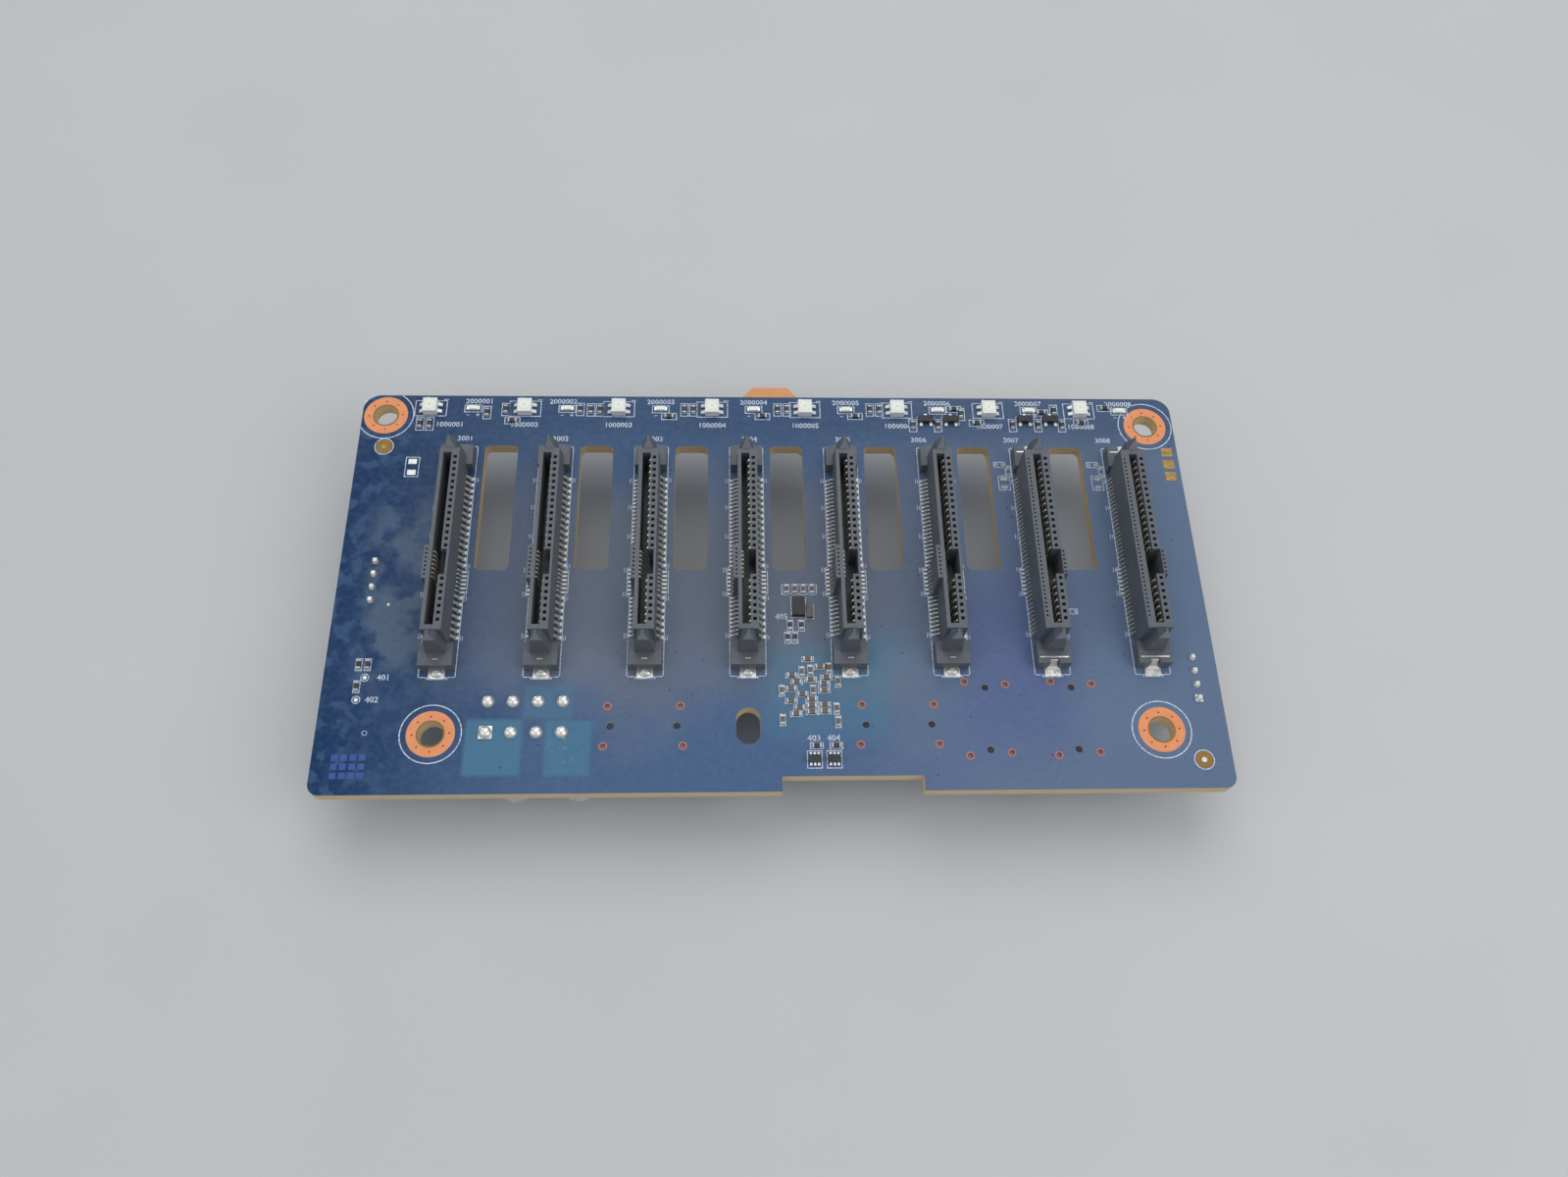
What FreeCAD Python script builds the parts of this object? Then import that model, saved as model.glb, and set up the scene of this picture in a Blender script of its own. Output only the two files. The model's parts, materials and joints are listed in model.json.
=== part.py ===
import FreeCAD, Part
import math
import os
import Sketcher

Vector = FreeCAD.Vector

# Frame: origin on the axis of the lower left mounting hole, on the front face of the board.
# +X runs along the board, +Y towards the edge with the indicator lamps, +Z out of the front face.
# All sizes are in millimetres. Sizes whose name starts with socket_ belong to the drive receptacles.

SIZES = {
    # board
    "board_thickness": 2.4,
    "edge_left": 19.0,              # first receptacle to left edge
    "edge_right": 11.45,            # last receptacle to right edge
    "edge_lower": 10.4,             # lower mounting holes to lower edge
    "edge_upper": 2.9,              # row of lamps to upper edge
    "upper_corner": 3.2,
    "lower_corner": 2.0,
    "notch_shift": 12.35,           # middle of the board to middle of the notch
    "notch_width": 23.7,
    "notch_depth": 2.6,
    "tab_shift": 0.4,               # middle of the tab to middle of the board
    "tab_root": 10.4,
    "tab_tip": 6.6,
    "tab_height": 2.2,
    "vent_width": 6.1,
    "vent_length": 26.0,
    "vent_corner": 0.7,             # cut flat
    "vent_offset": 7.5,             # receptacle centre line to slot centre line
    "vent_start": 30.5,
    # mounting
    "mount_hole": 4.2,
    "left_hole_in": 4.4,            # upper left hole to left edge
    "left_hole_down": 4.5,          # and to upper edge
    "right_hole_in": 5.4,           # upper right hole to right edge
    "right_hole_down": 6.3,         # and to upper edge
    "oval_rise": 1.1,
    "oval_width": 4.1,
    "oval_length": 6.5,
    # drive receptacles
    "bays": 8,
    "wide_bays": 2,                 # full row receptacles, at the right
    "bay_pitch": 17.65,
    "contact_datum": 17.3,          # mounting hole to first signal contact
    "socket_height": 8.2,
    "socket_lift": 0.3,
    "socket_right": 1.85,
    "socket_left": 1.65,
    "socket_shelf": 2.45,           # outer face of the wall that holds the fine contacts
    "key_shelf": 2.65,              # outer face of the bulge beside the key
    "slot_left": 1.0,
    "slot_right": 0.45,
    "slot_depth": 6.4,
    "slot_margin": 0.95,            # past the end contacts
    "wall_end": 0.9,
    "coarse_pitch": 1.27,
    "fine_pitch": 0.8,
    "signal_count": 7,
    "power_count": 15,
    "second_count": 7,
    "extra_count": 6,
    "fine_count": 40,
    "key_gap": 6.35,                # last signal contact to first power contact
    "key_clear": 0.75,
    "key_wall": 0.4,
    "fine_start": 0.43,
    "second_start": 8.43,
    "coarse_cavity": 0.62,
    "coarse_line": 1.14,
    "fine_cavity": 0.34,
    "cavity_depth": 1.6,
    "fine_line": 1.95,
    "extra_line": 2.2,
    # guide posts and ears
    "ear_half": 2.9,
    "ear_length": 4.15,
    "ear_height": 2.6,
    "post_root": 1.75,
    "post_half": 1.0,
    "post_length": 1.9,
    "post_shoulder": 7.9,
    "post_height": 10.0,
    "post_tip_half": 0.15,
    "post_tip_in": 0.9,             # body end to near side of the tip
    "post_tip_long": 0.6,
    # contact tails
    "tail_thick": 0.2,
    "tail_exit": 1.3,
    "tail_toe": 3.05,
    "tail_foot": 0.55,
    "coarse_tail": 0.5,
    "fine_tail": 0.3,
    # hold-down clips
    "clip_sheet": 0.25,
    "clip_play": 0.05,
    "clip_back": 1.0,               # ear outer face to clip plate
    "clip_foot_reach": 1.5,
    "clip_foot_half": 1.4,
    "clip_neck": 0.5,
    "clip_arch": 1.1,
    "clip_bar": 2.5,
    "clip_bar_deep": 0.45,
    "clip_waist": 0.75,
    # indicator lamps and small parts on the front
    "lamp_rise": 64.7,
    "lamp_offset": 6.4,
    "lamp_width": 2.6,
    "lamp_length": 2.9,
    "lamp_height": 1.5,
    "lamp_cup": 2.0,
    "lamp_cup_deep": 0.6,
    "spot_offset": 1.5,
    "spot_length": 1.6,
    "spot_width": 0.8,
    "spot_height": 0.6,
    "chip_length": 1.5,
    "chip_width": 0.75,
    "chip_height": 0.5,
    "transistor_width": 2.9,
    "transistor_depth": 1.3,
    "transistor_height": 1.0,
    "transistor_lead": 0.4,
    "transistor_pitch": 1.9,
    "transistor_reach": 0.6,
    "case_lift": 0.1,
    "lead_height": 0.35,
    "gate_width": 2.0,
    "gate_depth": 1.25,
    "gate_height": 0.95,
    "gate_lead": 0.25,
    "gate_reach": 0.45,
    "gate_pitch": 0.65,
    "control_width": 2.3,
    "control_depth": 3.5,
    "control_height": 0.85,
    # power header on the rear
    "power_left": 9.05,             # first pin column
    "power_rise": 2.9,              # between the two pin rows
    "power_columns": 4,
    "power_pitch": 4.2,
    "power_rows": 5.5,
    "power_side": 2.7,              # outer pin to outer wall
    "power_depth": 9.6,
    "power_height": 12.8,
    "power_pocket": 3.5,
    "power_pocket_deep": 9.6,
    "power_throat_play": 0.1,
    "power_pin": 1.1,
    "power_pin_out": 9.6,
    "power_jog": 1.6,
    "power_latch": 6.0,
    "power_latch_out": 1.4,
    "power_latch_tall": 1.6,
    "power_latch_down": 3.4,
    "pin_proud": 0.9,               # pin ends above the front face
    "power_drill": 1.8,
    # side headers on the rear
    "side_left_in": 6.2,            # left header to left edge
    "side_left_start": 24.6,
    "side_right_in": 4.1,           # right header to right edge
    "side_right_start": 5.6,
    "side_pins": 4,
    "side_pitch": 2.54,
    "side_end": 1.3,
    "side_depth": 5.8,
    "side_base": 3.2,
    "side_wall": 1.0,
    "side_height": 8.4,
    "side_pin": 0.64,
    "side_pin_out": 11.2,
    "side_drill": 1.0,
    # shielded cable sockets on the rear
    "cable_rise": 1.2,
    "cable_second_on": 7.9,         # past the fifth receptacle
    "cable_third_on": 5.55,         # past the sixth
    "cable_fourth_on": 2.95,        # past the seventh
    "cable_turned_rise": 2.2,
    "cage_length": 14.0,
    "cage_depth": 7.4,
    "cage_height": 10.6,
    "cage_sheet": 0.3,
    "cage_window": 3.0,
    "cage_window_tall": 1.4,
    "cage_window_down": 3.2,
    "cage_leg": 0.7,
    "cage_leg_front": 6.15,
    "cage_leg_back": 6.65,
    "cage_leg_long": 2.0,
    "cage_leg_drill": 1.0,
    "insert_length": 11.4,
    "insert_depth": 5.4,
    "insert_height": 9.4,
    "insert_flange": 2.2,
    "insert_play": 0.05,
    "card_slot": 0.95,
    "card_slot_long": 8.8,
    "card_slot_deep": 5.5,
    "card_slot_apart": 2.6,
    "peg_apart": 11.2,
    "peg_size": 1.1,
    "peg_drill": 1.2,
    "peg_long": 1.4,
    # can capacitors on the rear
    "can_first": 13.2,
    "can_second": 24.0,
    "can_drop": 5.7,                # below the lower mounting holes
    "can_size": 6.3,
    "can_height": 7.2,
    "can_base": 6.6,
    "can_base_high": 0.9,
    "can_corner": 1.3,
}

document = FreeCAD.newDocument("drive_backplane")
sheet = document.addObject("Spreadsheet::Sheet", "sizes")
for row, (name, value) in enumerate(SIZES.items(), start=1):
    sheet.set(f"A{row}", name)
    sheet.set(f"B{row}", str(value))
    sheet.setAlias(f"B{row}", name)
document.recompute()

nodes = []
NEAR = 0.01                          # places closer than this count as the same
PLACES = {"at_x": "Placement.Base.x", "at_y": "Placement.Base.y", "at_z": "Placement.Base.z"}


def size(name):
    return float(sheet.get(name))


def bind(thing, **expressions):
    """Bind properties to expressions; at_x, at_y and at_z are the object's place."""
    for prop, expression in expressions.items():
        thing.setExpression(PLACES.get(prop, prop), expression)


def keep(thing, label):
    thing.Label = label
    nodes.append(thing)
    return thing


# ---- sketches -------------------------------------------------------------------------

def new_body(name, multiple=False):
    body = document.addObject("PartDesign::Body", name)
    body.AllowCompound = multiple
    return body


def origin_item(body, role):
    return next(item for item in body.Origin.OriginFeatures if item.Role == role)


def new_sketch(body, name, plane="XY_Plane", offset="0 mm"):
    """A sketch on one of the body's own planes, moved along that plane's normal."""
    sketch = body.newObject("Sketcher::SketchObject", name)
    sketch.AttachmentSupport = [(origin_item(body, plane), "")]
    sketch.MapMode = "FlatFace"
    sketch.setExpression("AttachmentOffset.Base.z", offset)
    return sketch


def pin_point(sketch, geometry, point, across, along):
    """Fix a point by its two distances from the sketch origin."""
    for kind, expression in (("DistanceX", across), ("DistanceY", along)):
        index = sketch.addConstraint(Sketcher.Constraint(kind, -1, 1, geometry, point, 1.0))
        sketch.setExpression(f"Constraints[{index}]", expression)


def outline(sketch, corners):
    """A closed outline of straight edges through corners given as pairs of expressions."""
    first = sketch.GeometryCount
    count = len(corners)
    turn = 2 * math.pi / count
    seeds = [Vector(5 * math.cos(turn * k), 5 * math.sin(turn * k), 0) for k in range(count)]
    for k in range(count):
        sketch.addGeometry(Part.LineSegment(seeds[k], seeds[(k + 1) % count]), False)
    for k in range(count):
        sketch.addConstraint(Sketcher.Constraint("Coincident", first + k, 2, first + (k + 1) % count, 1))
    for k, (across, along) in enumerate(corners):
        pin_point(sketch, first + k, 1, across, along)


def rectangle(sketch, left, right, low, high):
    outline(sketch, [(left, low), (right, low), (right, high), (left, high)])


def circle(sketch, across, along, diameter):
    index = sketch.addGeometry(Part.Circle(Vector(1, 1, 0), Vector(0, 0, 1), 1), False)
    pin_point(sketch, index, 3, across, along)
    rule = sketch.addConstraint(Sketcher.Constraint("Diameter", index, 2.0))
    sketch.setExpression(f"Constraints[{rule}]", diameter)


def octagon(sketch, across, along, width):
    """An eight sided outline for the smallest holes and pegs; width is measured across its flats."""
    half = f"{width} / 2"
    cut = f"{half} * {math.tan(math.pi / 8):.6f}"
    outline(sketch, [(f"{across} {x}", f"{along} {y}") for x, y in (
        (f"+ {half}", f"- {cut}"), (f"+ {half}", f"+ {cut}"),
        (f"+ {cut}", f"+ {half}"), (f"- {cut}", f"+ {half}"),
        (f"- {half}", f"+ {cut}"), (f"- {half}", f"- {cut}"),
        (f"- {cut}", f"- {half}"), (f"+ {cut}", f"- {half}"),
    )])


# ---- features -------------------------------------------------------------------------

def pad(body, sketch, length):
    feature = body.newObject("PartDesign::Pad", sketch.Name + "_pad")
    feature.Profile = sketch
    bind(feature, Length=length)
    return feature


def pocket(body, sketch, depth, backwards=False):
    """Cut against the sketch normal, or along it when backwards is set."""
    feature = body.newObject("PartDesign::Pocket", sketch.Name + "_pocket")
    feature.Profile = sketch
    feature.Reversed = backwards
    bind(feature, Length=depth)
    return feature


def row_of(body, feature, axis, count, pitch):
    """Repeat a feature along one of the body's axes."""
    pattern = body.newObject("PartDesign::LinearPattern", feature.Name + "_row")
    pattern.Originals = [feature]
    pattern.Direction = (origin_item(body, axis), [""])
    bind(pattern, Length=f"({count} - 1) * {pitch}", Occurrences=count)
    body.Tip = pattern
    return pattern


def round_edges(body, name, radius, wanted, flat=False):
    """Round, or cut flat, the upright edges whose place passes the test."""
    document.recompute()
    base = body.Tip
    names = []
    for number, edge in enumerate(base.Shape.Edges, start=1):
        frame = edge.BoundBox
        upright = max(frame.XLength, frame.YLength) < NEAR < frame.ZLength
        if upright and wanted(frame.XMin, frame.YMin):
            names.append(f"Edge{number}")
    trimmed = body.newObject("PartDesign::Chamfer" if flat else "PartDesign::Fillet", name)
    trimmed.Base = (base, names)
    if flat:
        bind(trimmed, Size=radius)
    else:
        bind(trimmed, Radius=radius)
    return trimmed


def copy_of(source, label, shift):
    """A further example of a piece, moved along the board."""
    twin = document.addObject("Part::Compound", label)
    twin.Links = [source]
    bind(twin, at_x=shift)
    return keep(twin, label)


def box(name, left, low, floor, width, depth, height):
    block = document.addObject("Part::Box", name)
    bind(block, Length=width, Width=depth, Height=height, at_x=left, at_y=low, at_z=floor)
    return block


def group(label, members):
    gathered = document.addObject("Part::Compound", label)
    gathered.Links = members
    return keep(gathered, label)


# ---- circuit board --------------------------------------------------------------------

REAR = "-sizes.board_thickness"
LEFT = "-sizes.edge_left"
BAY_SPAN = "(sizes.bays - 1) * sizes.bay_pitch"
RIGHT = f"({BAY_SPAN} + sizes.edge_right)"
LOWER = "-sizes.edge_lower"
UPPER = "(sizes.lamp_rise + sizes.edge_upper)"
MIDDLE = f"({LEFT} + {RIGHT}) / 2"
OVAL = "3 * sizes.bay_pitch"         # the oval window stands on the fourth bay's line
NOTCH_LEFT = f"({MIDDLE} + sizes.notch_shift - sizes.notch_width / 2)"
NOTCH_RIGHT = f"({MIDDLE} + sizes.notch_shift + sizes.notch_width / 2)"
TAB = f"({MIDDLE} - sizes.tab_shift)"
NOTCH_TOP = "(sizes.notch_depth - sizes.edge_lower)"
TAB_TOP = f"({UPPER} + sizes.tab_height)"

# Cable sockets: column, row, and whether the socket is turned a quarter
SOCKETS = (
    ("2 * sizes.bay_pitch", "sizes.cable_rise", False),
    ("4 * sizes.bay_pitch + sizes.cable_second_on", "sizes.cable_rise", False),
    ("5 * sizes.bay_pitch + sizes.cable_third_on", "sizes.cable_turned_rise", True),
    ("6 * sizes.bay_pitch + sizes.cable_fourth_on", "sizes.cable_turned_rise", True),
)


def socket_point(place, across, along):
    """A point of a cable socket's footprint; turned sockets have their length along Y."""
    column, rise, turned = place
    if turned:
        return f"{column} + ({along})", f"{rise} - ({across})"
    return f"{column} + ({across})", f"{rise} + ({along})"


# Side headers: name, column, first pin, and the side of the column that carries the lock
SIDE_HEADERS = (
    ("left_header", f"({LEFT} + sizes.side_left_in)", "sizes.side_left_start", "+"),
    ("right_header", f"({RIGHT} - sizes.side_right_in)", "sizes.side_right_start", "-"),
)


def cage_legs():
    """Places of the four cage legs; the pair on one wall stands a little wider than the other."""
    for reach, row in (("cage_leg_front", "0.5"), ("cage_leg_back", "-0.5")):
        for side in ("", "-"):
            yield f"{side}sizes.{reach}", f"{row} * (sizes.cage_depth - sizes.cage_sheet)"


def build_board():
    body = new_body("circuit_board")
    plate = new_sketch(body, "board_outline", offset=REAR)
    outline(plate, [
        (LEFT, LOWER), (NOTCH_LEFT, LOWER), (NOTCH_LEFT, NOTCH_TOP), (NOTCH_RIGHT, NOTCH_TOP),
        (NOTCH_RIGHT, LOWER), (RIGHT, LOWER), (RIGHT, UPPER),
        (f"{TAB} + sizes.tab_root / 2", UPPER), (f"{TAB} + sizes.tab_tip / 2", TAB_TOP),
        (f"{TAB} - sizes.tab_tip / 2", TAB_TOP), (f"{TAB} - sizes.tab_root / 2", UPPER),
        (LEFT, UPPER),
    ])
    pad(body, plate, "sizes.board_thickness")

    vent = new_sketch(body, "vent_slot")
    centre = "sizes.vent_offset"
    rectangle(vent, f"{centre} - sizes.vent_width / 2", f"{centre} + sizes.vent_width / 2",
              "sizes.vent_start", "sizes.vent_start + sizes.vent_length")
    slot = pocket(body, vent, "sizes.board_thickness")
    row_of(body, slot, "X_Axis", "(sizes.bays - 1)", "sizes.bay_pitch")

    document.recompute()
    frame = body.Shape.BoundBox
    vent_ends = (size("vent_start"), size("vent_start") + size("vent_length"))

    def on_side(x):
        return min(abs(x - frame.XMin), abs(x - frame.XMax)) < NEAR

    round_edges(body, "upper_corners", "sizes.upper_corner", lambda x, y: on_side(x) and y > 0)
    round_edges(body, "lower_corners", "sizes.lower_corner", lambda x, y: on_side(x) and y < 0)
    round_edges(body, "vent_corners", "sizes.vent_corner",
                lambda x, y: min(abs(y - vent_ends[0]), abs(y - vent_ends[1])) < NEAR, flat=True)

    holes = new_sketch(body, "mounting_holes")
    circle(holes, "0 mm", "0 mm", "sizes.mount_hole")
    circle(holes, BAY_SPAN, "0 mm", "sizes.mount_hole")
    circle(holes, f"{LEFT} + sizes.left_hole_in", f"{UPPER} - sizes.left_hole_down", "sizes.mount_hole")
    circle(holes, f"{RIGHT} - sizes.right_hole_in", f"{UPPER} - sizes.right_hole_down", "sizes.mount_hole")
    pocket(body, holes, "sizes.board_thickness")

    oval = new_sketch(body, "oval_slot")
    reach = "(sizes.oval_length - sizes.oval_width) / 2"
    rectangle(oval, f"{OVAL} - sizes.oval_width / 2", f"{OVAL} + sizes.oval_width / 2",
              f"sizes.oval_rise - {reach}", f"sizes.oval_rise + {reach}")
    pocket(body, oval, "sizes.board_thickness")
    for number, side in enumerate(("-", "+"), start=1):
        end = new_sketch(body, f"oval_end_{number}")
        circle(end, OVAL, f"sizes.oval_rise {side} {reach}", "sizes.oval_width")
        pocket(body, end, "sizes.board_thickness")

    power = new_sketch(body, "power_holes")
    for row in ("0.5", "-0.5"):
        rise = f"sizes.power_rise + {row} * sizes.power_rows"
        octagon(power, "sizes.power_left", rise, "sizes.power_drill")
    drilled = pocket(body, power, "sizes.board_thickness")
    row_of(body, drilled, "X_Axis", "sizes.power_columns", "sizes.power_pitch")

    half = "sizes.side_drill / 2"
    for label, column, start, _ in SIDE_HEADERS:
        side = new_sketch(body, label + "_holes")
        rectangle(side, f"{column} - {half}", f"{column} + {half}",
                  f"{start} - {half}", f"{start} + {half}")
        drilled = pocket(body, side, "sizes.board_thickness")
        row_of(body, drilled, "Y_Axis", "sizes.side_pins", "sizes.side_pitch")

    legs = new_sketch(body, "leg_holes")
    pegs = new_sketch(body, "peg_holes")
    half = "sizes.cage_leg_drill / 2"
    for place in SOCKETS:
        for across, along in cage_legs():
            x, y = socket_point(place, across, along)
            rectangle(legs, f"{x} - {half}", f"{x} + {half}", f"{y} - {half}", f"{y} + {half}")
        for side in ("0.5", "-0.5"):
            octagon(pegs, *socket_point(place, f"{side} * sizes.peg_apart", "0"), "sizes.peg_drill")
    for drilled in (legs, pegs):
        pocket(body, drilled, "sizes.board_thickness")
    return keep(body, "circuit_board")


# ---- drive receptacles ----------------------------------------------------------------

POWER_START = "((sizes.signal_count - 1) * sizes.coarse_pitch + sizes.key_gap)"
LAST_CONTACT = f"({POWER_START} + (sizes.power_count - 1) * sizes.coarse_pitch)"
BODY_LOW = "(-sizes.slot_margin - sizes.wall_end)"
BODY_HIGH = f"({LAST_CONTACT} + sizes.slot_margin + sizes.wall_end)"
KEY_LOW = "((sizes.signal_count - 1) * sizes.coarse_pitch + sizes.key_clear)"
KEY_HIGH = f"({POWER_START} - sizes.key_clear)"
SECOND_HIGH = "(sizes.second_start + (sizes.second_count - 1) * sizes.fine_pitch)"
EXTRA_START = f"({POWER_START} - sizes.key_gap / 2 - (sizes.extra_count - 1) * sizes.fine_pitch / 2)"


def cavities(body, name, line, start, mouth, count, pitch):
    """A row of square contact cavities sunk into the mating face."""
    sketch = new_sketch(body, name, offset="sizes.socket_height")
    rectangle(sketch, f"{line} - {mouth} / 2", f"{line} + {mouth} / 2",
              f"{start} - {mouth} / 2", f"{start} + {mouth} / 2")
    cavity = pocket(body, sketch, "sizes.cavity_depth")
    cavity.Refine = False
    row_of(body, cavity, "Y_Axis", count, pitch).Refine = False


def add_post(body, name, end, outward):
    """A guide post: a tapered blade on the ear, whose tip slopes in on all four sides."""
    root = f"({end})"
    far = f"({root} + ({outward}) * sizes.post_length)"
    blade = new_sketch(body, name + "_blade", "XZ_Plane",
                       f"-{far}" if outward == "1" else f"-{root}")
    outline(blade, [
        ("-sizes.post_root", "sizes.ear_height"), ("sizes.post_root", "sizes.ear_height"),
        ("sizes.post_half", "sizes.post_shoulder"), ("sizes.post_tip_half", "sizes.post_height"),
        ("-sizes.post_tip_half", "sizes.post_height"), ("-sizes.post_half", "sizes.post_shoulder"),
    ])
    pad(body, blade, "sizes.post_length")
    near = f"({root} + ({outward}) * sizes.post_tip_in)"
    slopes = ((root, near), (far, f"({near} + ({outward}) * sizes.post_tip_long)"))
    for number, (foot, top) in enumerate(slopes, start=1):
        slope = new_sketch(body, f"{name}_slope_{number}", "YZ_Plane", "sizes.post_half")
        outline(slope, [
            (foot, "sizes.post_shoulder"), (foot, "sizes.post_height"), (top, "sizes.post_height"),
        ])
        pocket(body, slope, "2 * sizes.post_half")


def add_ear(body, name, end, outward, wide):
    """The ear that stands on the board and carries the hold-down clip."""
    near = f"({end})"
    far = f"({near} + ({outward}) * sizes.ear_length)"
    ear = new_sketch(body, name)
    rectangle(ear, "-sizes.ear_half", "sizes.ear_half", near, far)
    pad(body, ear, "sizes.ear_height")

    plate_outer = f"({far} - ({outward}) * (sizes.clip_back - sizes.clip_play))"
    plate_inner = f"({plate_outer} - ({outward}) * (sizes.clip_sheet + 2 * sizes.clip_play))"
    if wide:
        bar, gap, rise = "sizes.clip_bar", "sizes.clip_waist", "sizes.ear_height"
    else:
        bar, gap, rise = "sizes.clip_foot_half", "sizes.clip_foot_half", "sizes.clip_arch"
    plate = new_sketch(body, name + "_plate_slot")
    rectangle(plate, f"-({bar} + sizes.clip_play)", f"{bar} + sizes.clip_play", plate_inner, plate_outer)
    pocket(body, plate, f"{rise} + sizes.clip_play", backwards=True)
    mouth = new_sketch(body, name + "_mouth")
    if wide:
        foot = "(sizes.clip_foot_half + sizes.clip_play)"
        rectangle(mouth, f"-{foot}", foot, plate_outer, far)
        pocket(body, mouth, "sizes.clip_sheet + sizes.clip_play", backwards=True)
        waist = new_sketch(body, name + "_waist_gap")
        rectangle(waist, f"-({gap} + sizes.clip_play)", f"{gap} + sizes.clip_play", plate_outer, far)
        pocket(body, waist, "sizes.ear_height", backwards=True)
    else:
        rectangle(mouth, f"-({gap} + sizes.clip_play)", f"{gap} + sizes.clip_play", plate_outer, far)
        pocket(body, mouth, "sizes.clip_arch + sizes.clip_play", backwards=True)
        window = new_sketch(body, name + "_window")
        rectangle(window, "-(sizes.clip_neck + sizes.clip_play)", "sizes.clip_neck + sizes.clip_play",
                  plate_inner, plate_outer)
        pocket(body, window, "sizes.ear_height", backwards=True)


def build_housing(name, wide):
    body = new_body(name)
    left = "-sizes.socket_shelf" if wide else "-sizes.socket_left"
    block = new_sketch(body, name + "_block", offset="sizes.socket_lift")
    rectangle(block, left, "sizes.socket_right", BODY_LOW, BODY_HIGH)
    pad(body, block, "sizes.socket_height - sizes.socket_lift")

    bulge = new_sketch(body, name + "_bulge", offset="sizes.socket_lift")
    if wide:
        rectangle(bulge, "sizes.slot_right", "sizes.key_shelf", KEY_LOW, KEY_HIGH)
    else:
        rectangle(bulge, "-sizes.socket_shelf", "-sizes.slot_left",
                  "sizes.second_start - sizes.key_clear", f"{SECOND_HIGH} + sizes.key_clear")
    pad(body, bulge, "sizes.socket_height - sizes.socket_lift")

    add_ear(body, name + "_lower_ear", BODY_LOW, "-1", wide)
    add_ear(body, name + "_upper_ear", BODY_HIGH, "1", wide)
    add_post(body, name + "_lower_post", BODY_LOW, "-1")
    add_post(body, name + "_upper_post", BODY_HIGH, "1")

    slot = new_sketch(body, name + "_slot", offset="sizes.socket_height")
    if wide:
        key_right = "(sizes.extra_line - sizes.fine_cavity / 2 - sizes.key_wall / 2)"
    else:
        key_right = "(sizes.socket_right - sizes.key_wall)"
    outline(slot, [
        ("-sizes.slot_left", "-sizes.slot_margin"), ("sizes.slot_right", "-sizes.slot_margin"),
        ("sizes.slot_right", KEY_LOW), (key_right, KEY_LOW), (key_right, KEY_HIGH),
        ("sizes.slot_right", KEY_HIGH), ("sizes.slot_right", f"{LAST_CONTACT} + sizes.slot_margin"),
        ("-sizes.slot_left", f"{LAST_CONTACT} + sizes.slot_margin"),
    ])
    pocket(body, slot, "sizes.slot_depth")

    cavities(body, name + "_signal_cavity", "sizes.coarse_line", "0", "sizes.coarse_cavity",
             "sizes.signal_count", "sizes.coarse_pitch")
    cavities(body, name + "_power_cavity", "sizes.coarse_line", POWER_START, "sizes.coarse_cavity",
             "sizes.power_count", "sizes.coarse_pitch")
    if wide:
        cavities(body, name + "_fine_cavity", "-sizes.fine_line", "sizes.fine_start", "sizes.fine_cavity",
                 "sizes.fine_count", "sizes.fine_pitch")
        cavities(body, name + "_extra_cavity", "sizes.extra_line", EXTRA_START, "sizes.fine_cavity",
                 "sizes.extra_count", "sizes.fine_pitch")
    else:
        cavities(body, name + "_second_cavity", "-sizes.fine_line", "sizes.second_start", "sizes.fine_cavity",
                 "sizes.second_count", "sizes.fine_pitch")
    return body


def tails(body, name, side, wall, start, width, count, pitch):
    """A row of contact tails that slope from the housing wall down to their feet on the board."""
    sketch = new_sketch(body, name, "XZ_Plane", f"-(({start}) + {width} / 2)")
    toe = f"{side}sizes.tail_toe"
    heel = f"{side}max(sizes.tail_toe - sizes.tail_foot; {wall})"
    outline(sketch, [
        (f"{side}{wall}", "sizes.tail_exit"), (f"{side}{wall}", "sizes.tail_exit + sizes.tail_thick"),
        (toe, "0 mm"), (heel, "0 mm"),
    ])
    tail = pad(body, sketch, width)
    if pitch:
        row_of(body, tail, "Y_Axis", count, pitch)


def build_contacts(name, wide):
    body = new_body(name, multiple=True)
    tails(body, name + "_signal", "", "sizes.socket_right", "0", "sizes.coarse_tail",
          "sizes.signal_count", "sizes.coarse_pitch")
    tails(body, name + "_power", "", "sizes.socket_right", POWER_START, "sizes.coarse_tail",
          "sizes.power_count", "sizes.coarse_pitch")
    if wide:
        tails(body, name + "_fine", "-", "sizes.socket_shelf", "sizes.fine_start", "sizes.fine_tail",
              "sizes.fine_count", "sizes.fine_pitch")
        tails(body, name + "_extra", "", "sizes.key_shelf", EXTRA_START, "sizes.fine_tail",
              "sizes.extra_count", "sizes.fine_pitch")
    else:
        tails(body, name + "_second", "-", "sizes.socket_shelf", "sizes.second_start", "sizes.fine_tail",
              "sizes.second_count", "sizes.fine_pitch")
    return body


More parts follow.
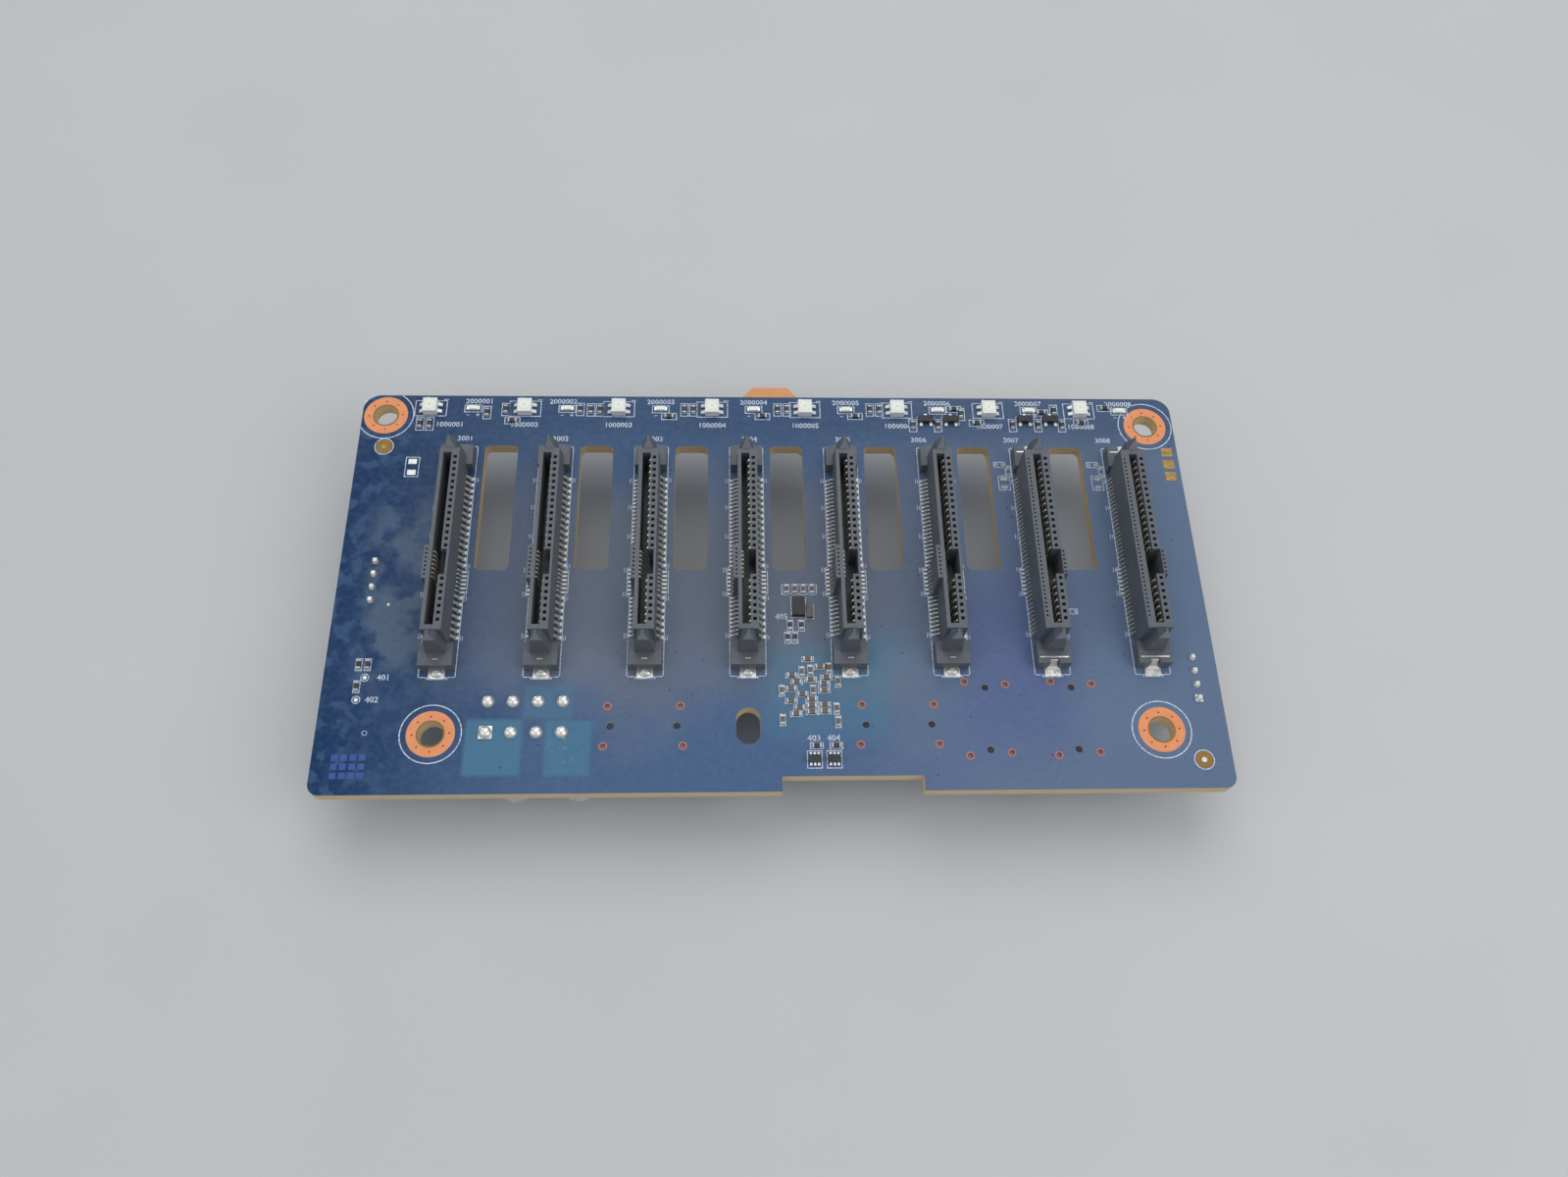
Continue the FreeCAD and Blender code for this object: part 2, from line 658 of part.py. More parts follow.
def add_clip(body, name, end, outward, wide):
    """A sheet clip: an upright plate held in the ear and a foot that is soldered to the board."""
    far = f"(({end}) + ({outward}) * sizes.ear_length)"
    outer = f"({far} - ({outward}) * sizes.clip_back)"
    inner = f"({outer} - ({outward}) * sizes.clip_sheet)"
    offset = f"-{outer}" if outward == "1" else f"-{inner}"
    plate = new_sketch(body, name + "_plate", "XZ_Plane", offset)
    if wide:
        low = "sizes.ear_height - sizes.clip_bar_deep"
        outline(plate, [
            ("-sizes.clip_foot_half", "0 mm"), ("sizes.clip_foot_half", "0 mm"),
            ("sizes.clip_waist", "sizes.clip_sheet"), ("sizes.clip_waist", low), ("sizes.clip_bar", low),
            ("sizes.clip_bar", "sizes.ear_height"), ("-sizes.clip_bar", "sizes.ear_height"),
            ("-sizes.clip_bar", low), ("-sizes.clip_waist", low), ("-sizes.clip_waist", "sizes.clip_sheet"),
        ])
    else:
        outline(plate, [
            ("-sizes.clip_foot_half", "0 mm"), ("sizes.clip_foot_half", "0 mm"),
            ("sizes.clip_foot_half", "sizes.clip_arch"), ("sizes.clip_neck", "sizes.clip_arch"),
            ("sizes.clip_neck", "sizes.ear_height"), ("-sizes.clip_neck", "sizes.ear_height"),
            ("-sizes.clip_neck", "sizes.clip_arch"), ("-sizes.clip_foot_half", "sizes.clip_arch"),
        ])
    pad(body, plate, "sizes.clip_sheet")
    foot = new_sketch(body, name + "_foot")
    rectangle(foot, "-sizes.clip_foot_half", "sizes.clip_foot_half",
              inner, f"({far} + ({outward}) * sizes.clip_foot_reach)")
    pad(body, foot, "sizes.clip_sheet")


def build_clips(name, wide):
    body = new_body(name, multiple=True)
    add_clip(body, name + "_lower", BODY_LOW, "-1", wide)
    add_clip(body, name + "_upper", BODY_HIGH, "1", wide)
    return body


def build_receptacles():
    bays, wide_bays = int(size("bays")), int(size("wide_bays"))
    makers = (("receptacle_housing", build_housing), ("receptacle_contacts", build_contacts),
              ("receptacle_clips", build_clips))
    for stem, maker in makers:
        source = None
        for bay in range(bays):
            label = f"{stem}_{bay + 1}"
            wide = bay >= bays - wide_bays
            if bay in (0, bays - wide_bays):
                source, first = maker(label, wide), bay
                bind(source, at_x=f"{bay} * sizes.bay_pitch", at_y="sizes.contact_datum")
                keep(source, label)
            else:
                copy_of(source, label, f"{bay - first} * sizes.bay_pitch")


# ---- lamps and small parts on the front -------------------------------------------------

# Places of the small parts: receptacles passed, across from that receptacle's centre line, up from
# the row named, and True when the part's length runs up the board
LAMP_ROW_RESISTORS = (
    (0, -8.1, -3.5, True), (0, -6.3, -3.5, True), (0, 4.15, -0.9, True), (0, 7.6, -0.2, True),
    (1, -8.65, -2.7, False), (1, 3.95, -0.1, True), (1, 5.95, -0.2, True), (1, 7.65, -0.2, True),
    (2, 3.1, -1.6, False), (2, 6, -0.1, True), (2, 7.7, -0.1, True), (3, 3.15, -1.5, False),
    (3, 6.05, 0, True), (3, 7.85, 0, True), (4, 3.2, -1.4, False), (4, 6.1, 0.1, True),
    (4, 7.9, 0.1, True), (5, -3.45, -3.4, True), (5, 1.35, -3.4, True), (5, 4.65, 0.3, False),
    (5, 5.95, -0.8, True), (6, -8.8, -2.8, False), (6, -1.9, -3.3, True), (6, 3, -3.3, True),
    (6, 3.9, -0.4, False), (6, 6.4, 0, True), (6, 7.6, -3.3, True), (7, -6.25, -2.7, False),
    (7, -1.25, 0.7, False),
)
HOLE_ROW_RESISTORS = (
    (0, -13.3, 12.5, True), (0, -13.2, 8.5, True), (0, -11.8, 12.5, True), (3, 6.95, 17.3, True),
    (3, 7.45, 19.6, True), (3, 8.25, 17.3, True), (4, -8.2, 19.6, True), (4, -6.2, -2.5, False),
    (4, -2.9, -2.5, False),
)
HOLE_ROW_CAPACITORS = (
    (3, 5.75, 7.4, True), (3, 5.85, 2.1, True), (3, 6.95, 26.6, True), (3, 7.35, 5.5, False),
    (3, 7.35, 7.7, False), (3, 7.55, 10.2, False), (3, 8.15, 3.15, False), (3, 8.35, 8.95, False),
    (3, 8.45, 26.6, True), (3, 8.75, 4.3, False), (4, -8.4, 6.7, False), (4, -8.4, 10.8, True),
    (4, -7.7, 26.6, True), (4, -7.3, 13.2, False), (4, -6.9, 9.4, False), (4, -6.9, 11.1, True),
    (4, -6.8, 3.5, False), (4, -6.8, 4.65, False), (4, -6.8, 5.8, False), (4, -6.5, 7.4, True),
    (4, -6.2, 26.6, True), (4, -5.2, 11.8, False), (4, -4.6, 3.6, False), (4, -4.6, 4.8, False),
    (4, -4.6, 7.4, False), (4, -4.6, 8.6, False), (4, -4.2, 9.75, False), (4, -3.7, 11.5, True),
    (4, -2.6, 4.1, True), (4, -2.4, 1.7, True), (4, -2.2, 9, True),
)
TRANSISTORS = ((5, -0.95, -2.3), (5, 3.85, -2.3), (6, 0.5, -2.2), (6, 5.4, -2.2))
GATES = ((4, -6.6, -4.9), (4, -3.3, -4.9))
CONTROL_CHIP = (3, 9.0, 23.1)


def board_place(bay, across, row, up):
    return f"{bay} * sizes.bay_pitch + ({across})", f"{row} + ({up})"


def small_parts(label, rows):
    blocks = []
    for row, places in rows:
        for bay, across, up, upright in places:
            width, depth = "sizes.chip_width", "sizes.chip_length"
            if not upright:
                width, depth = depth, width
            column, rise = board_place(bay, across, row, up)
            blocks.append(box(f"{label}_{len(blocks) + 1}", f"{column} - {width} / 2",
                              f"{rise} - {depth} / 2", "0 mm", width, depth, "sizes.chip_height"))
    group(label, blocks)


def build_lamps():
    lamps, spots = [], []
    for bay in range(int(size("bays"))):
        column = f"{bay} * sizes.bay_pitch - sizes.lamp_offset"
        case = box(f"lamp_case_{bay + 1}", f"{column} - sizes.lamp_width / 2",
                   "sizes.lamp_rise - sizes.lamp_length / 2", "0 mm",
                   "sizes.lamp_width", "sizes.lamp_length", "sizes.lamp_height")
        cup = document.addObject("Part::Prism", f"lamp_cup_{bay + 1}")
        cup.Polygon = 8
        bind(cup, Circumradius="sizes.lamp_cup / 2", Height="sizes.lamp_cup_deep",
             at_x=column, at_y="sizes.lamp_rise", at_z="sizes.lamp_height - sizes.lamp_cup_deep")
        lamp = document.addObject("Part::Cut", f"lamp_{bay + 1}")
        lamp.Base, lamp.Tool = case, cup
        lamps.append(lamp)
        column = f"{bay} * sizes.bay_pitch + sizes.spot_offset"
        spots.append(box(f"spot_{bay + 1}", f"{column} - sizes.spot_length / 2",
                         "sizes.lamp_rise - sizes.spot_width / 2", "0 mm",
                         "sizes.spot_length", "sizes.spot_width", "sizes.spot_height"))
    group("status_lamps", lamps)
    group("activity_lamps", spots)


def leaded_part(name, place, case, lead, lead_places):
    """A moulded case with gull wing leads; lead_places are (across, side) pairs."""
    across, up = place
    width, depth, height = case
    lead_width, reach = lead
    pieces = [box(f"{name}_case", f"{across} - {width} / 2", f"{up} - {depth} / 2", "sizes.case_lift",
                  width, depth, f"{height} - sizes.case_lift")]
    for number, (shift, side) in enumerate(lead_places, start=1):
        low = f"{up} + {depth} / 2" if side > 0 else f"{up} - {depth} / 2 - {reach}"
        pieces.append(box(f"{name}_lead_{number}", f"{across} + ({shift}) - {lead_width} / 2", low, "0 mm",
                          lead_width, reach, "sizes.lead_height"))
    return pieces


def build_chips():
    transistors = []
    for number, (bay, across, up) in enumerate(TRANSISTORS, start=1):
        transistors += leaded_part(
            f"transistor_{number}", board_place(bay, across, "sizes.lamp_rise", up),
            ("sizes.transistor_width", "sizes.transistor_depth", "sizes.transistor_height"),
            ("sizes.transistor_lead", "sizes.transistor_reach"),
            (("-sizes.transistor_pitch / 2", -1), ("sizes.transistor_pitch / 2", -1), ("0", 1)))
    group("lamp_transistors", transistors)
    gates = []
    leads = [(f"{step} * sizes.gate_pitch", side) for side in (-1, 1) for step in (-1, 0, 1)]
    for number, (bay, across, up) in enumerate(GATES, start=1):
        gates += leaded_part(f"gate_{number}", board_place(bay, across, "0", up),
                             ("sizes.gate_width", "sizes.gate_depth", "sizes.gate_height"),
                             ("sizes.gate_lead", "sizes.gate_reach"), leads)
    group("logic_gates", gates)
    bay, across, up = CONTROL_CHIP
    column, rise = board_place(bay, across, "0", up)
    chip = box("control_chip", f"{column} - sizes.control_width / 2", f"{rise} - sizes.control_depth / 2",
               "0 mm", "sizes.control_width", "sizes.control_depth", "sizes.control_height")
    keep(chip, "control_chip")


# ---- parts on the rear ------------------------------------------------------------------

def build_power_header():
    body = new_body("power_header_housing")
    last = "(sizes.power_left + (sizes.power_columns - 1) * sizes.power_pitch)"
    bottom = f"({REAR} - sizes.power_height)"
    shell = new_sketch(body, "power_shell", offset=bottom)
    rectangle(shell, "sizes.power_left - sizes.power_side", f"{last} + sizes.power_side",
              "sizes.power_rise - sizes.power_depth / 2", "sizes.power_rise + sizes.power_depth / 2")
    pad(body, shell, "sizes.power_height")
    latch = new_sketch(body, "power_latch", offset=f"({bottom} + sizes.power_latch_down)")
    middle = f"((sizes.power_left + {last}) / 2)"
    side = "(sizes.power_rise + sizes.power_depth / 2)"
    rectangle(latch, f"{middle} - sizes.power_latch / 2", f"{middle} + sizes.power_latch / 2",
              side, f"{side} + sizes.power_latch_out")
    pad(body, latch, "sizes.power_latch_tall")
    for number, row in enumerate(("-0.5", "0.5"), start=1):
        pocket_sketch = new_sketch(body, f"power_pockets_{number}", offset=bottom)
        line = f"(sizes.power_rise + {row} * (sizes.power_pitch))"
        reach = "sizes.power_pocket / 2"
        rectangle(pocket_sketch, f"sizes.power_left - {reach}", f"sizes.power_left + {reach}",
                  f"{line} - {reach}", f"{line} + {reach}")
        chamber = pocket(body, pocket_sketch, "sizes.power_pocket_deep", backwards=True)
        row_of(body, chamber, "X_Axis", "sizes.power_columns", "sizes.power_pitch")
        throat = new_sketch(body, f"power_throat_{number}", offset=REAR)
        half = "(sizes.power_pin / 2 + sizes.power_throat_play)"
        inner = f"(sizes.power_rise + {row} * sizes.power_pitch)"
        outer = f"(sizes.power_rise + {row} * sizes.power_rows)"
        sign = "-" if row.startswith("-") else "+"
        rectangle(throat, f"sizes.power_left - {half}", f"sizes.power_left + {half}",
                  f"{inner} {'+' if sign == '-' else '-'} {half}", f"{outer} {sign} {half}")
        passage = pocket(body, throat, "sizes.power_height - sizes.power_pocket_deep")
        row_of(body, passage, "X_Axis", "sizes.power_columns", "sizes.power_pitch")
    return keep(body, "power_header_housing")


def build_power_pins():
    """Each pin steps from the wide rows of the board to the narrower rows of the mating face."""
    body = new_body("power_header_pins", multiple=True)
    half = "sizes.power_pin / 2"
    step = f"({REAR} - sizes.power_jog)"
    for number, side in enumerate(("-", ""), start=1):
        inner = f"(sizes.power_rise {side or '+'} sizes.power_pitch / 2)"
        outer = f"(sizes.power_rise {side or '+'} sizes.power_rows / 2)"
        pin = new_sketch(body, f"power_pin_{number}", "YZ_Plane", "sizes.power_left - sizes.power_pin / 2")
        end = f"{REAR} - sizes.power_pin_out"
        outline(pin, [
            (f"{outer} - {half}", "sizes.pin_proud"), (f"{outer} - {half}", step),
            (f"{inner} - {half}", f"{step} - {half}"), (f"{inner} - {half}", end),
            (f"{inner} + {half}", end), (f"{inner} + {half}", f"{step} - {half}"),
            (f"{outer} + {half}", step), (f"{outer} + {half}", "sizes.pin_proud"),
        ])
        blade = pad(body, pin, "sizes.power_pin")
        row_of(body, blade, "X_Axis", "sizes.power_columns", "sizes.power_pitch")
    return keep(body, "power_header_pins")


def build_side_header(label, column, start, lock_side):
    """A single row header whose friction lock is an upright wall on one side."""
    body = new_body(label + "_housing")
    end = f"({start} + (sizes.side_pins - 1) * sizes.side_pitch + sizes.side_end)"
    base = new_sketch(body, label + "_base", offset=f"{REAR} - sizes.side_base")
    low = f"({start} - sizes.side_end)"
    rectangle(base, f"{column} - sizes.side_depth / 2", f"{column} + sizes.side_depth / 2", low, end)
    pad(body, base, "sizes.side_base")
    wall = new_sketch(body, label + "_lock", offset=f"{REAR} - sizes.side_height")
    edge = f"({column} {lock_side} sizes.side_depth / 2)"
    inner = f"({column} {lock_side} (sizes.side_depth / 2 - sizes.side_wall))"
    margin = "sizes.side_pitch / 2"
    rectangle(wall, edge, inner, f"{low} + {margin}", f"{end} - {margin}")
    pad(body, wall, "sizes.side_height - sizes.side_base")
    hole = new_sketch(body, label + "_pin_hole", offset=f"{REAR} - sizes.side_base")
    half = "sizes.side_pin / 2"
    rectangle(hole, f"{column} - {half}", f"{column} + {half}", f"{start} - {half}", f"{start} + {half}")
    bore = pocket(body, hole, "sizes.side_base", backwards=True)
    row_of(body, bore, "Y_Axis", "sizes.side_pins", "sizes.side_pitch")
    keep(body, label + "_housing")

    pins = []
    for number in range(int(size("side_pins"))):
        pins.append(box(f"{label}_pin_{number + 1}", f"{column} - {half}",
                        f"{start} + {number} * sizes.side_pitch - {half}", f"{REAR} - sizes.side_pin_out",
                        "sizes.side_pin", "sizes.side_pin",
                        "sizes.pin_proud + sizes.board_thickness + sizes.side_pin_out"))
    group(label + "_pins", pins)


def build_cage(name):
    """A sheet metal cage, open at its mouth, with a latch window in each long wall and four legs."""
    body = new_body(name)
    mouth = "-sizes.cage_height"
    outer_x, outer_y = "sizes.cage_length / 2", "sizes.cage_depth / 2"
    wall = new_sketch(body, name + "_wall", offset=mouth)
    rectangle(wall, f"-{outer_x}", outer_x, f"-{outer_y}", outer_y)
    inner_x, inner_y = f"({outer_x} - sizes.cage_sheet)", f"({outer_y} - sizes.cage_sheet)"
    rectangle(wall, f"-{inner_x}", inner_x, f"-{inner_y}", inner_y)
    pad(body, wall, "sizes.cage_height")
    window = new_sketch(body, name + "_window", "XZ_Plane", outer_y)
    sill = f"{mouth} + sizes.cage_window_down"
    rectangle(window, "-sizes.cage_window / 2", "sizes.cage_window / 2",
              sill, f"{sill} + sizes.cage_window_tall")
    pocket(body, window, "sizes.cage_depth")
    for number, (across, along) in enumerate(cage_legs(), start=1):
        leg = new_sketch(body, f"{name}_leg_{number}")
        half_leg, half_sheet = "sizes.cage_leg / 2", "sizes.cage_sheet / 2"
        rectangle(leg, f"{across} - {half_leg}", f"{across} + {half_leg}",
                  f"{along} - {half_sheet}", f"{along} + {half_sheet}")
        pad(body, leg, "sizes.cage_leg_long")
    return body


def build_insert(name):
    """The moulded insert of a cable socket: a flange, a core with two card slots, and two pegs."""
    body = new_body(name)
    flange = new_sketch(body, name + "_flange", offset="-sizes.insert_flange")
    half_x = "(sizes.cage_length / 2 - sizes.cage_sheet - sizes.insert_play)"
    half_y = "(sizes.cage_depth / 2 - sizes.cage_sheet - sizes.insert_play)"
    rectangle(flange, f"-{half_x}", half_x, f"-{half_y}", half_y)
    pad(body, flange, "sizes.insert_flange")
    core = new_sketch(body, name + "_core", offset="-sizes.insert_height")
    rectangle(core, "-sizes.insert_length / 2", "sizes.insert_length / 2",
              "-sizes.insert_depth / 2", "sizes.insert_depth / 2")
    pad(body, core, "sizes.insert_height - sizes.insert_flange")
    for number, side in enumerate(("", "-"), start=1):
        card = new_sketch(body, f"{name}_card_{number}", offset="-sizes.insert_height")
        line = f"{side}sizes.card_slot_apart / 2"
        rectangle(card, "-sizes.card_slot_long / 2", "sizes.card_slot_long / 2",
                  f"{line} - sizes.card_slot / 2", f"{line} + sizes.card_slot / 2")
        pocket(body, card, "sizes.card_slot_deep", backwards=True)
        peg = new_sketch(body, f"{name}_peg_{number}")
        octagon(peg, f"{side}sizes.peg_apart / 2", "0", "sizes.peg_size")
        pad(body, peg, "sizes.peg_long")
    return body


def build_cable_sockets():
    for stem, maker in (("cable_socket_cage", build_cage), ("cable_socket_insert", build_insert)):
        pattern = maker(stem + "_1")
        first_column, first_rise, _ = SOCKETS[0]
        bind(pattern, at_x=first_column, at_y=first_rise, at_z=REAR)
        keep(pattern, stem + "_1")
        for number, (column, rise, turned) in enumerate(SOCKETS[1:], start=2):
            label = f"{stem}_{number}"
            twin = document.addObject("Part::Compound", label)
            twin.Links = [pattern]
            if turned:
                twin.Placement.Rotation = FreeCAD.Rotation(Vector(0, 0, 1), -90)
                bind(twin, at_x=f"{column} - {first_rise}", at_y=f"{rise} + {first_column}")
            else:
                bind(twin, at_x=f"{column} - {first_column}")
            keep(twin, label)


def build_cans():
    """Can capacitors: a rolled aluminium can on a moulded base with two cut corners."""
    for number, column in enumerate(("can_first", "can_second"), start=1):
        place = {"at_x": f"sizes.{column}", "at_y": "-sizes.can_drop", "at_z": REAR}
        base = new_body(f"can_base_{number}")
        plan = new_sketch(base, f"can_plan_{number}", offset="-sizes.can_base_high")
        half, cut = "sizes.can_base / 2", "(sizes.can_base / 2 - sizes.can_corner)"
        outline(plan, [(f"-{half}", f"-{half}"), (half, f"-{half}"), (half, cut), (cut, half),
                       (f"-{cut}", half), (f"-{half}", cut)])
        pad(base, plan, "sizes.can_base_high")
        bind(base, **place)
        keep(base, f"can_base_{number}")

        can = new_body(f"can_shell_{number}")
        half_section = new_sketch(can, f"can_section_{number}", "XZ_Plane")
        radius = "sizes.can_size / 2"
        top = "-(sizes.can_base_high + sizes.can_height)"
        outline(half_section, [
            ("0 mm", "-sizes.can_base_high"), (radius, "-sizes.can_base_high"),
            (radius, top), ("0 mm", top),
        ])
        spun = can.newObject("PartDesign::Revolution", f"can_spun_{number}")
        spun.Profile = half_section
        spun.ReferenceAxis = (half_section, ["V_Axis"])
        spun.Angle = 360
        bind(can, **place)
        keep(can, f"can_shell_{number}")


build_board()
build_receptacles()
build_lamps()
small_parts("chip_resistors", (("sizes.lamp_rise", LAMP_ROW_RESISTORS), ("0", HOLE_ROW_RESISTORS)))
small_parts("chip_capacitors", (("0", HOLE_ROW_CAPACITORS),))
build_chips()
build_power_header()
build_power_pins()
for header in SIDE_HEADERS:
    build_side_header(*header)
build_cable_sockets()
build_cans()
document.recompute()

for thing in document.Objects:
    if "Invalid" in thing.State or "Error" in thing.State:
        raise RuntimeError(f"{thing.Name} failed: {thing.State}")
os.makedirs("parts", exist_ok=True)
for node in nodes:
    shape = node.Shape
    if shape.isNull() or not shape.isValid() or not shape.Solids:
        raise RuntimeError(f"{node.Label} has no sound shape")
    shape.exportStep(f"parts/{node.Label}.step")
    print(f"{node.Label}: {len(shape.Solids)} solids, {shape.Volume:.2f} mm3")
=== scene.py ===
import bpy
import json
import math
from mathutils import Matrix, Vector

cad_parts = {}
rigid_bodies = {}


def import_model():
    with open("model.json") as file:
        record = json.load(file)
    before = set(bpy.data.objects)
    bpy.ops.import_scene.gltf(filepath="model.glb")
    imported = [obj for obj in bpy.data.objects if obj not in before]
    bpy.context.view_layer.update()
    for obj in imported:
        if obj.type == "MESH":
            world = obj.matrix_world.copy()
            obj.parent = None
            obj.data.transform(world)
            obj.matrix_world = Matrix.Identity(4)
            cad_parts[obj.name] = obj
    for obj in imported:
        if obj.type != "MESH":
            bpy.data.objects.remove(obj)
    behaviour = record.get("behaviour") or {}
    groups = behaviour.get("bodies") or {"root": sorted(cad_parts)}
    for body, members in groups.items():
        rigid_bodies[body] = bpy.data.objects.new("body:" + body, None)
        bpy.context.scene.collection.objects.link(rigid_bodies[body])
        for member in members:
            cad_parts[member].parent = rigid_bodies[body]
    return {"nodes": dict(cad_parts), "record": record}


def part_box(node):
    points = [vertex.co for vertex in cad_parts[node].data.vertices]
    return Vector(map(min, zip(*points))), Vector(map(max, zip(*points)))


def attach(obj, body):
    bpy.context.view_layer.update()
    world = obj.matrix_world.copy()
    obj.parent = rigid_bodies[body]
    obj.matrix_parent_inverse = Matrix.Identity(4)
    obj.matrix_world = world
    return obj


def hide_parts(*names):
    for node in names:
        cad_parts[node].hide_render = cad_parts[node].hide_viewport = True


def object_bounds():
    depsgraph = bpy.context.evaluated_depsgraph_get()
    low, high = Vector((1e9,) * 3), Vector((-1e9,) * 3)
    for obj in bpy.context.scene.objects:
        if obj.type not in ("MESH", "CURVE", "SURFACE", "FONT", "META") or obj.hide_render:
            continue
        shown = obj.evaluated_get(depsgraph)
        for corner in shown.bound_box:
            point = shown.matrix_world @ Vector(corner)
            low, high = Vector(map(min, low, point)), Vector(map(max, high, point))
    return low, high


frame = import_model()
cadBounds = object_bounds()
bpy.ops.object.select_all(action="DESELECT")
nodes = frame["nodes"]
mounts = {mount["name"]: mount for mount in frame["record"]["mounts"]}
mm = 0.001
print("frame loaded:", len(nodes), "nodes")


# a socket of a material, with arithmetic
class Wire:
    def __init__(self, paint, socket):
        self.paint = paint
        self.socket = socket

    def maths(self, operation, first, second):
        return self.paint.node("ShaderNodeMath", {"operation": operation}, {0: first, 1: second})

    def __add__(self, other):
        return self.maths("ADD", self, other)

    def __sub__(self, other):
        return self.maths("SUBTRACT", self, other)

    def __rsub__(self, other):
        return self.maths("SUBTRACT", other, self)

    def __mul__(self, other):
        return self.maths("MULTIPLY", self, other)

    def __gt__(self, other):
        return self.maths("GREATER_THAN", self, other)

    def __lt__(self, other):
        return self.maths("LESS_THAN", self, other)

    def __abs__(self):
        return self.maths("ABSOLUTE", self, 0.0)

    __radd__ = __add__
    __rmul__ = __mul__


# a material and the nodes that are added to it
class Paint:
    def __init__(self, name, **values):
        self.material = bpy.data.materials.new(name)
        self.material.use_nodes = True
        self.tree = self.material.node_tree
        self.shader = self.tree.nodes["Principled BSDF"]
        for socket, value in values.items():
            self.shader.inputs[socket.replace("_", " ")].default_value = value
        places = self.node("ShaderNodeTexCoord", {}, {}, "Object")
        self.place = self.vector("MULTIPLY", places, (1000, 1000, 1000))      # millimetres

    def node(self, kind, settings, sockets, output=0):
        made = self.tree.nodes.new(kind)
        for name, value in settings.items():
            setattr(made, name, value)
        for name, value in sockets.items():
            if isinstance(value, Wire):
                self.tree.links.new(value.socket, made.inputs[name])
            else:
                made.inputs[name].default_value = value
        return Wire(self, made.outputs[output])

    def vector(self, operation, first, second):
        return self.node("ShaderNodeVectorMath", {"operation": operation}, {0: first, 1: second})

    def mix(self, amount, first, second):
        sides = {0: amount}
        for index, colour in ((6, first), (7, second)):
            sides[index] = colour if isinstance(colour, Wire) else (*colour, 1)
        return self.node("ShaderNodeMix", {"data_type": "RGBA"}, sides, 2)

    def axes(self, where=None):
        split = self.node("ShaderNodeSeparateXYZ", {}, {0: where or self.place}, 0)
        return [Wire(self, socket) for socket in split.socket.node.outputs]

    def noise(self, scale, detail=2.0, where=None):
        return self.node("ShaderNodeTexNoise", {}, {"Vector": where or self.place, "Scale": scale,
                                                     "Detail": detail}, "Fac")

    def span(self, value, low, high, out=(0, 1)):        # value from low..high to out, clamped
        return self.node("ShaderNodeMapRange", {"interpolation_type": "SMOOTHSTEP"},
                         {"Value": value, "From Min": low, "From Max": high,
                          "To Min": out[0], "To Max": out[1]})

    def wave(self, value):           # runs smoothly between 0 and 1
        return self.node("ShaderNodeMath", {"operation": "SINE"}, {0: value}) * 0.5 + 0.5

    def cells(self, scale, where=None):                  # distance to the nearest of many scattered points
        return self.node("ShaderNodeTexVoronoi", {"feature": "F1"},
                         {"Vector": where or self.place, "Scale": scale}, "Distance")

    def facing(self):                # the surface normal's three axes
        return self.axes(self.node("ShaderNodeTexCoord", {}, {}, "Normal"))

    def feed(self, socket, wire):
        self.tree.links.new(wire.socket, self.shader.inputs[socket])

    def bump(self, height, strength, distance):
        normal = self.node("ShaderNodeBump", {}, {"Height": height, "Strength": strength,
                                                   "Distance": distance * mm})
        self.feed("Normal", normal)


def srgb(red, green, blue):          # a colour given as on a screen, 0 to 255
    def plain(value):
        value = value / 255
        return value / 12.92 if value <= 0.04045 else ((value + 0.055) / 1.055) ** 2.4
    return (plain(red), plain(green), plain(blue))


# small modelling steps, all in millimetres

def clearSelection():
    bpy.ops.object.select_all(action="DESELECT")


def pickPiece(piece):
    clearSelection()
    piece.select_set(True)
    bpy.context.view_layer.objects.active = piece


def settled(name):                   # the new primitive keeps its place in its mesh
    piece = bpy.context.object
    piece.name = name
    bpy.ops.object.transform_apply(location=True, rotation=True, scale=True)
    return piece


def addBlock(name, low, high):
    clearSelection()
    bpy.ops.mesh.primitive_cube_add(
        size=1, location=[(a + b) / 2 * mm for a, b in zip(low, high)],
        scale=[(b - a) * mm for a, b in zip(low, high)])
    return settled(name)


def addSheet(name, left, low, right, high, z=0.0):
    clearSelection()
    middle = ((left + right) / 2 * mm, (low + high) / 2 * mm, z * mm)
    bpy.ops.mesh.primitive_plane_add(size=1, location=middle)
    bpy.context.object.scale = ((right - left) * mm, (high - low) * mm, 1)
    return settled(name)


def addDisc(name, x, y, z, radius, sides=32):
    clearSelection()
    bpy.ops.mesh.primitive_circle_add(vertices=sides, radius=radius * mm, fill_type="NGON",
                                      location=(x * mm, y * mm, z * mm))
    return settled(name)


def addDrum(name, x, y, low, high, radius, sides=24):
    clearSelection()
    bpy.ops.mesh.primitive_cylinder_add(vertices=sides, radius=radius * mm, depth=(high - low) * mm,
                                        location=(x * mm, y * mm, (low + high) / 2 * mm))
    return settled(name)


def editFaces(piece, wanted):        # into edit mode with only the wanted faces selected
    pickPiece(piece)
    bpy.ops.object.mode_set(mode="EDIT")
    bpy.ops.mesh.select_mode(type="FACE")
    bpy.ops.mesh.select_all(action="DESELECT")
    bpy.ops.object.mode_set(mode="OBJECT")
    for face in piece.data.polygons:
        face.select = wanted(face)
    bpy.ops.object.mode_set(mode="EDIT")


def leaveEdit():
    bpy.ops.object.mode_set(mode="OBJECT")


def everyFace(face):
    return True


def topFace(face):
    return face.normal.z > 0.9


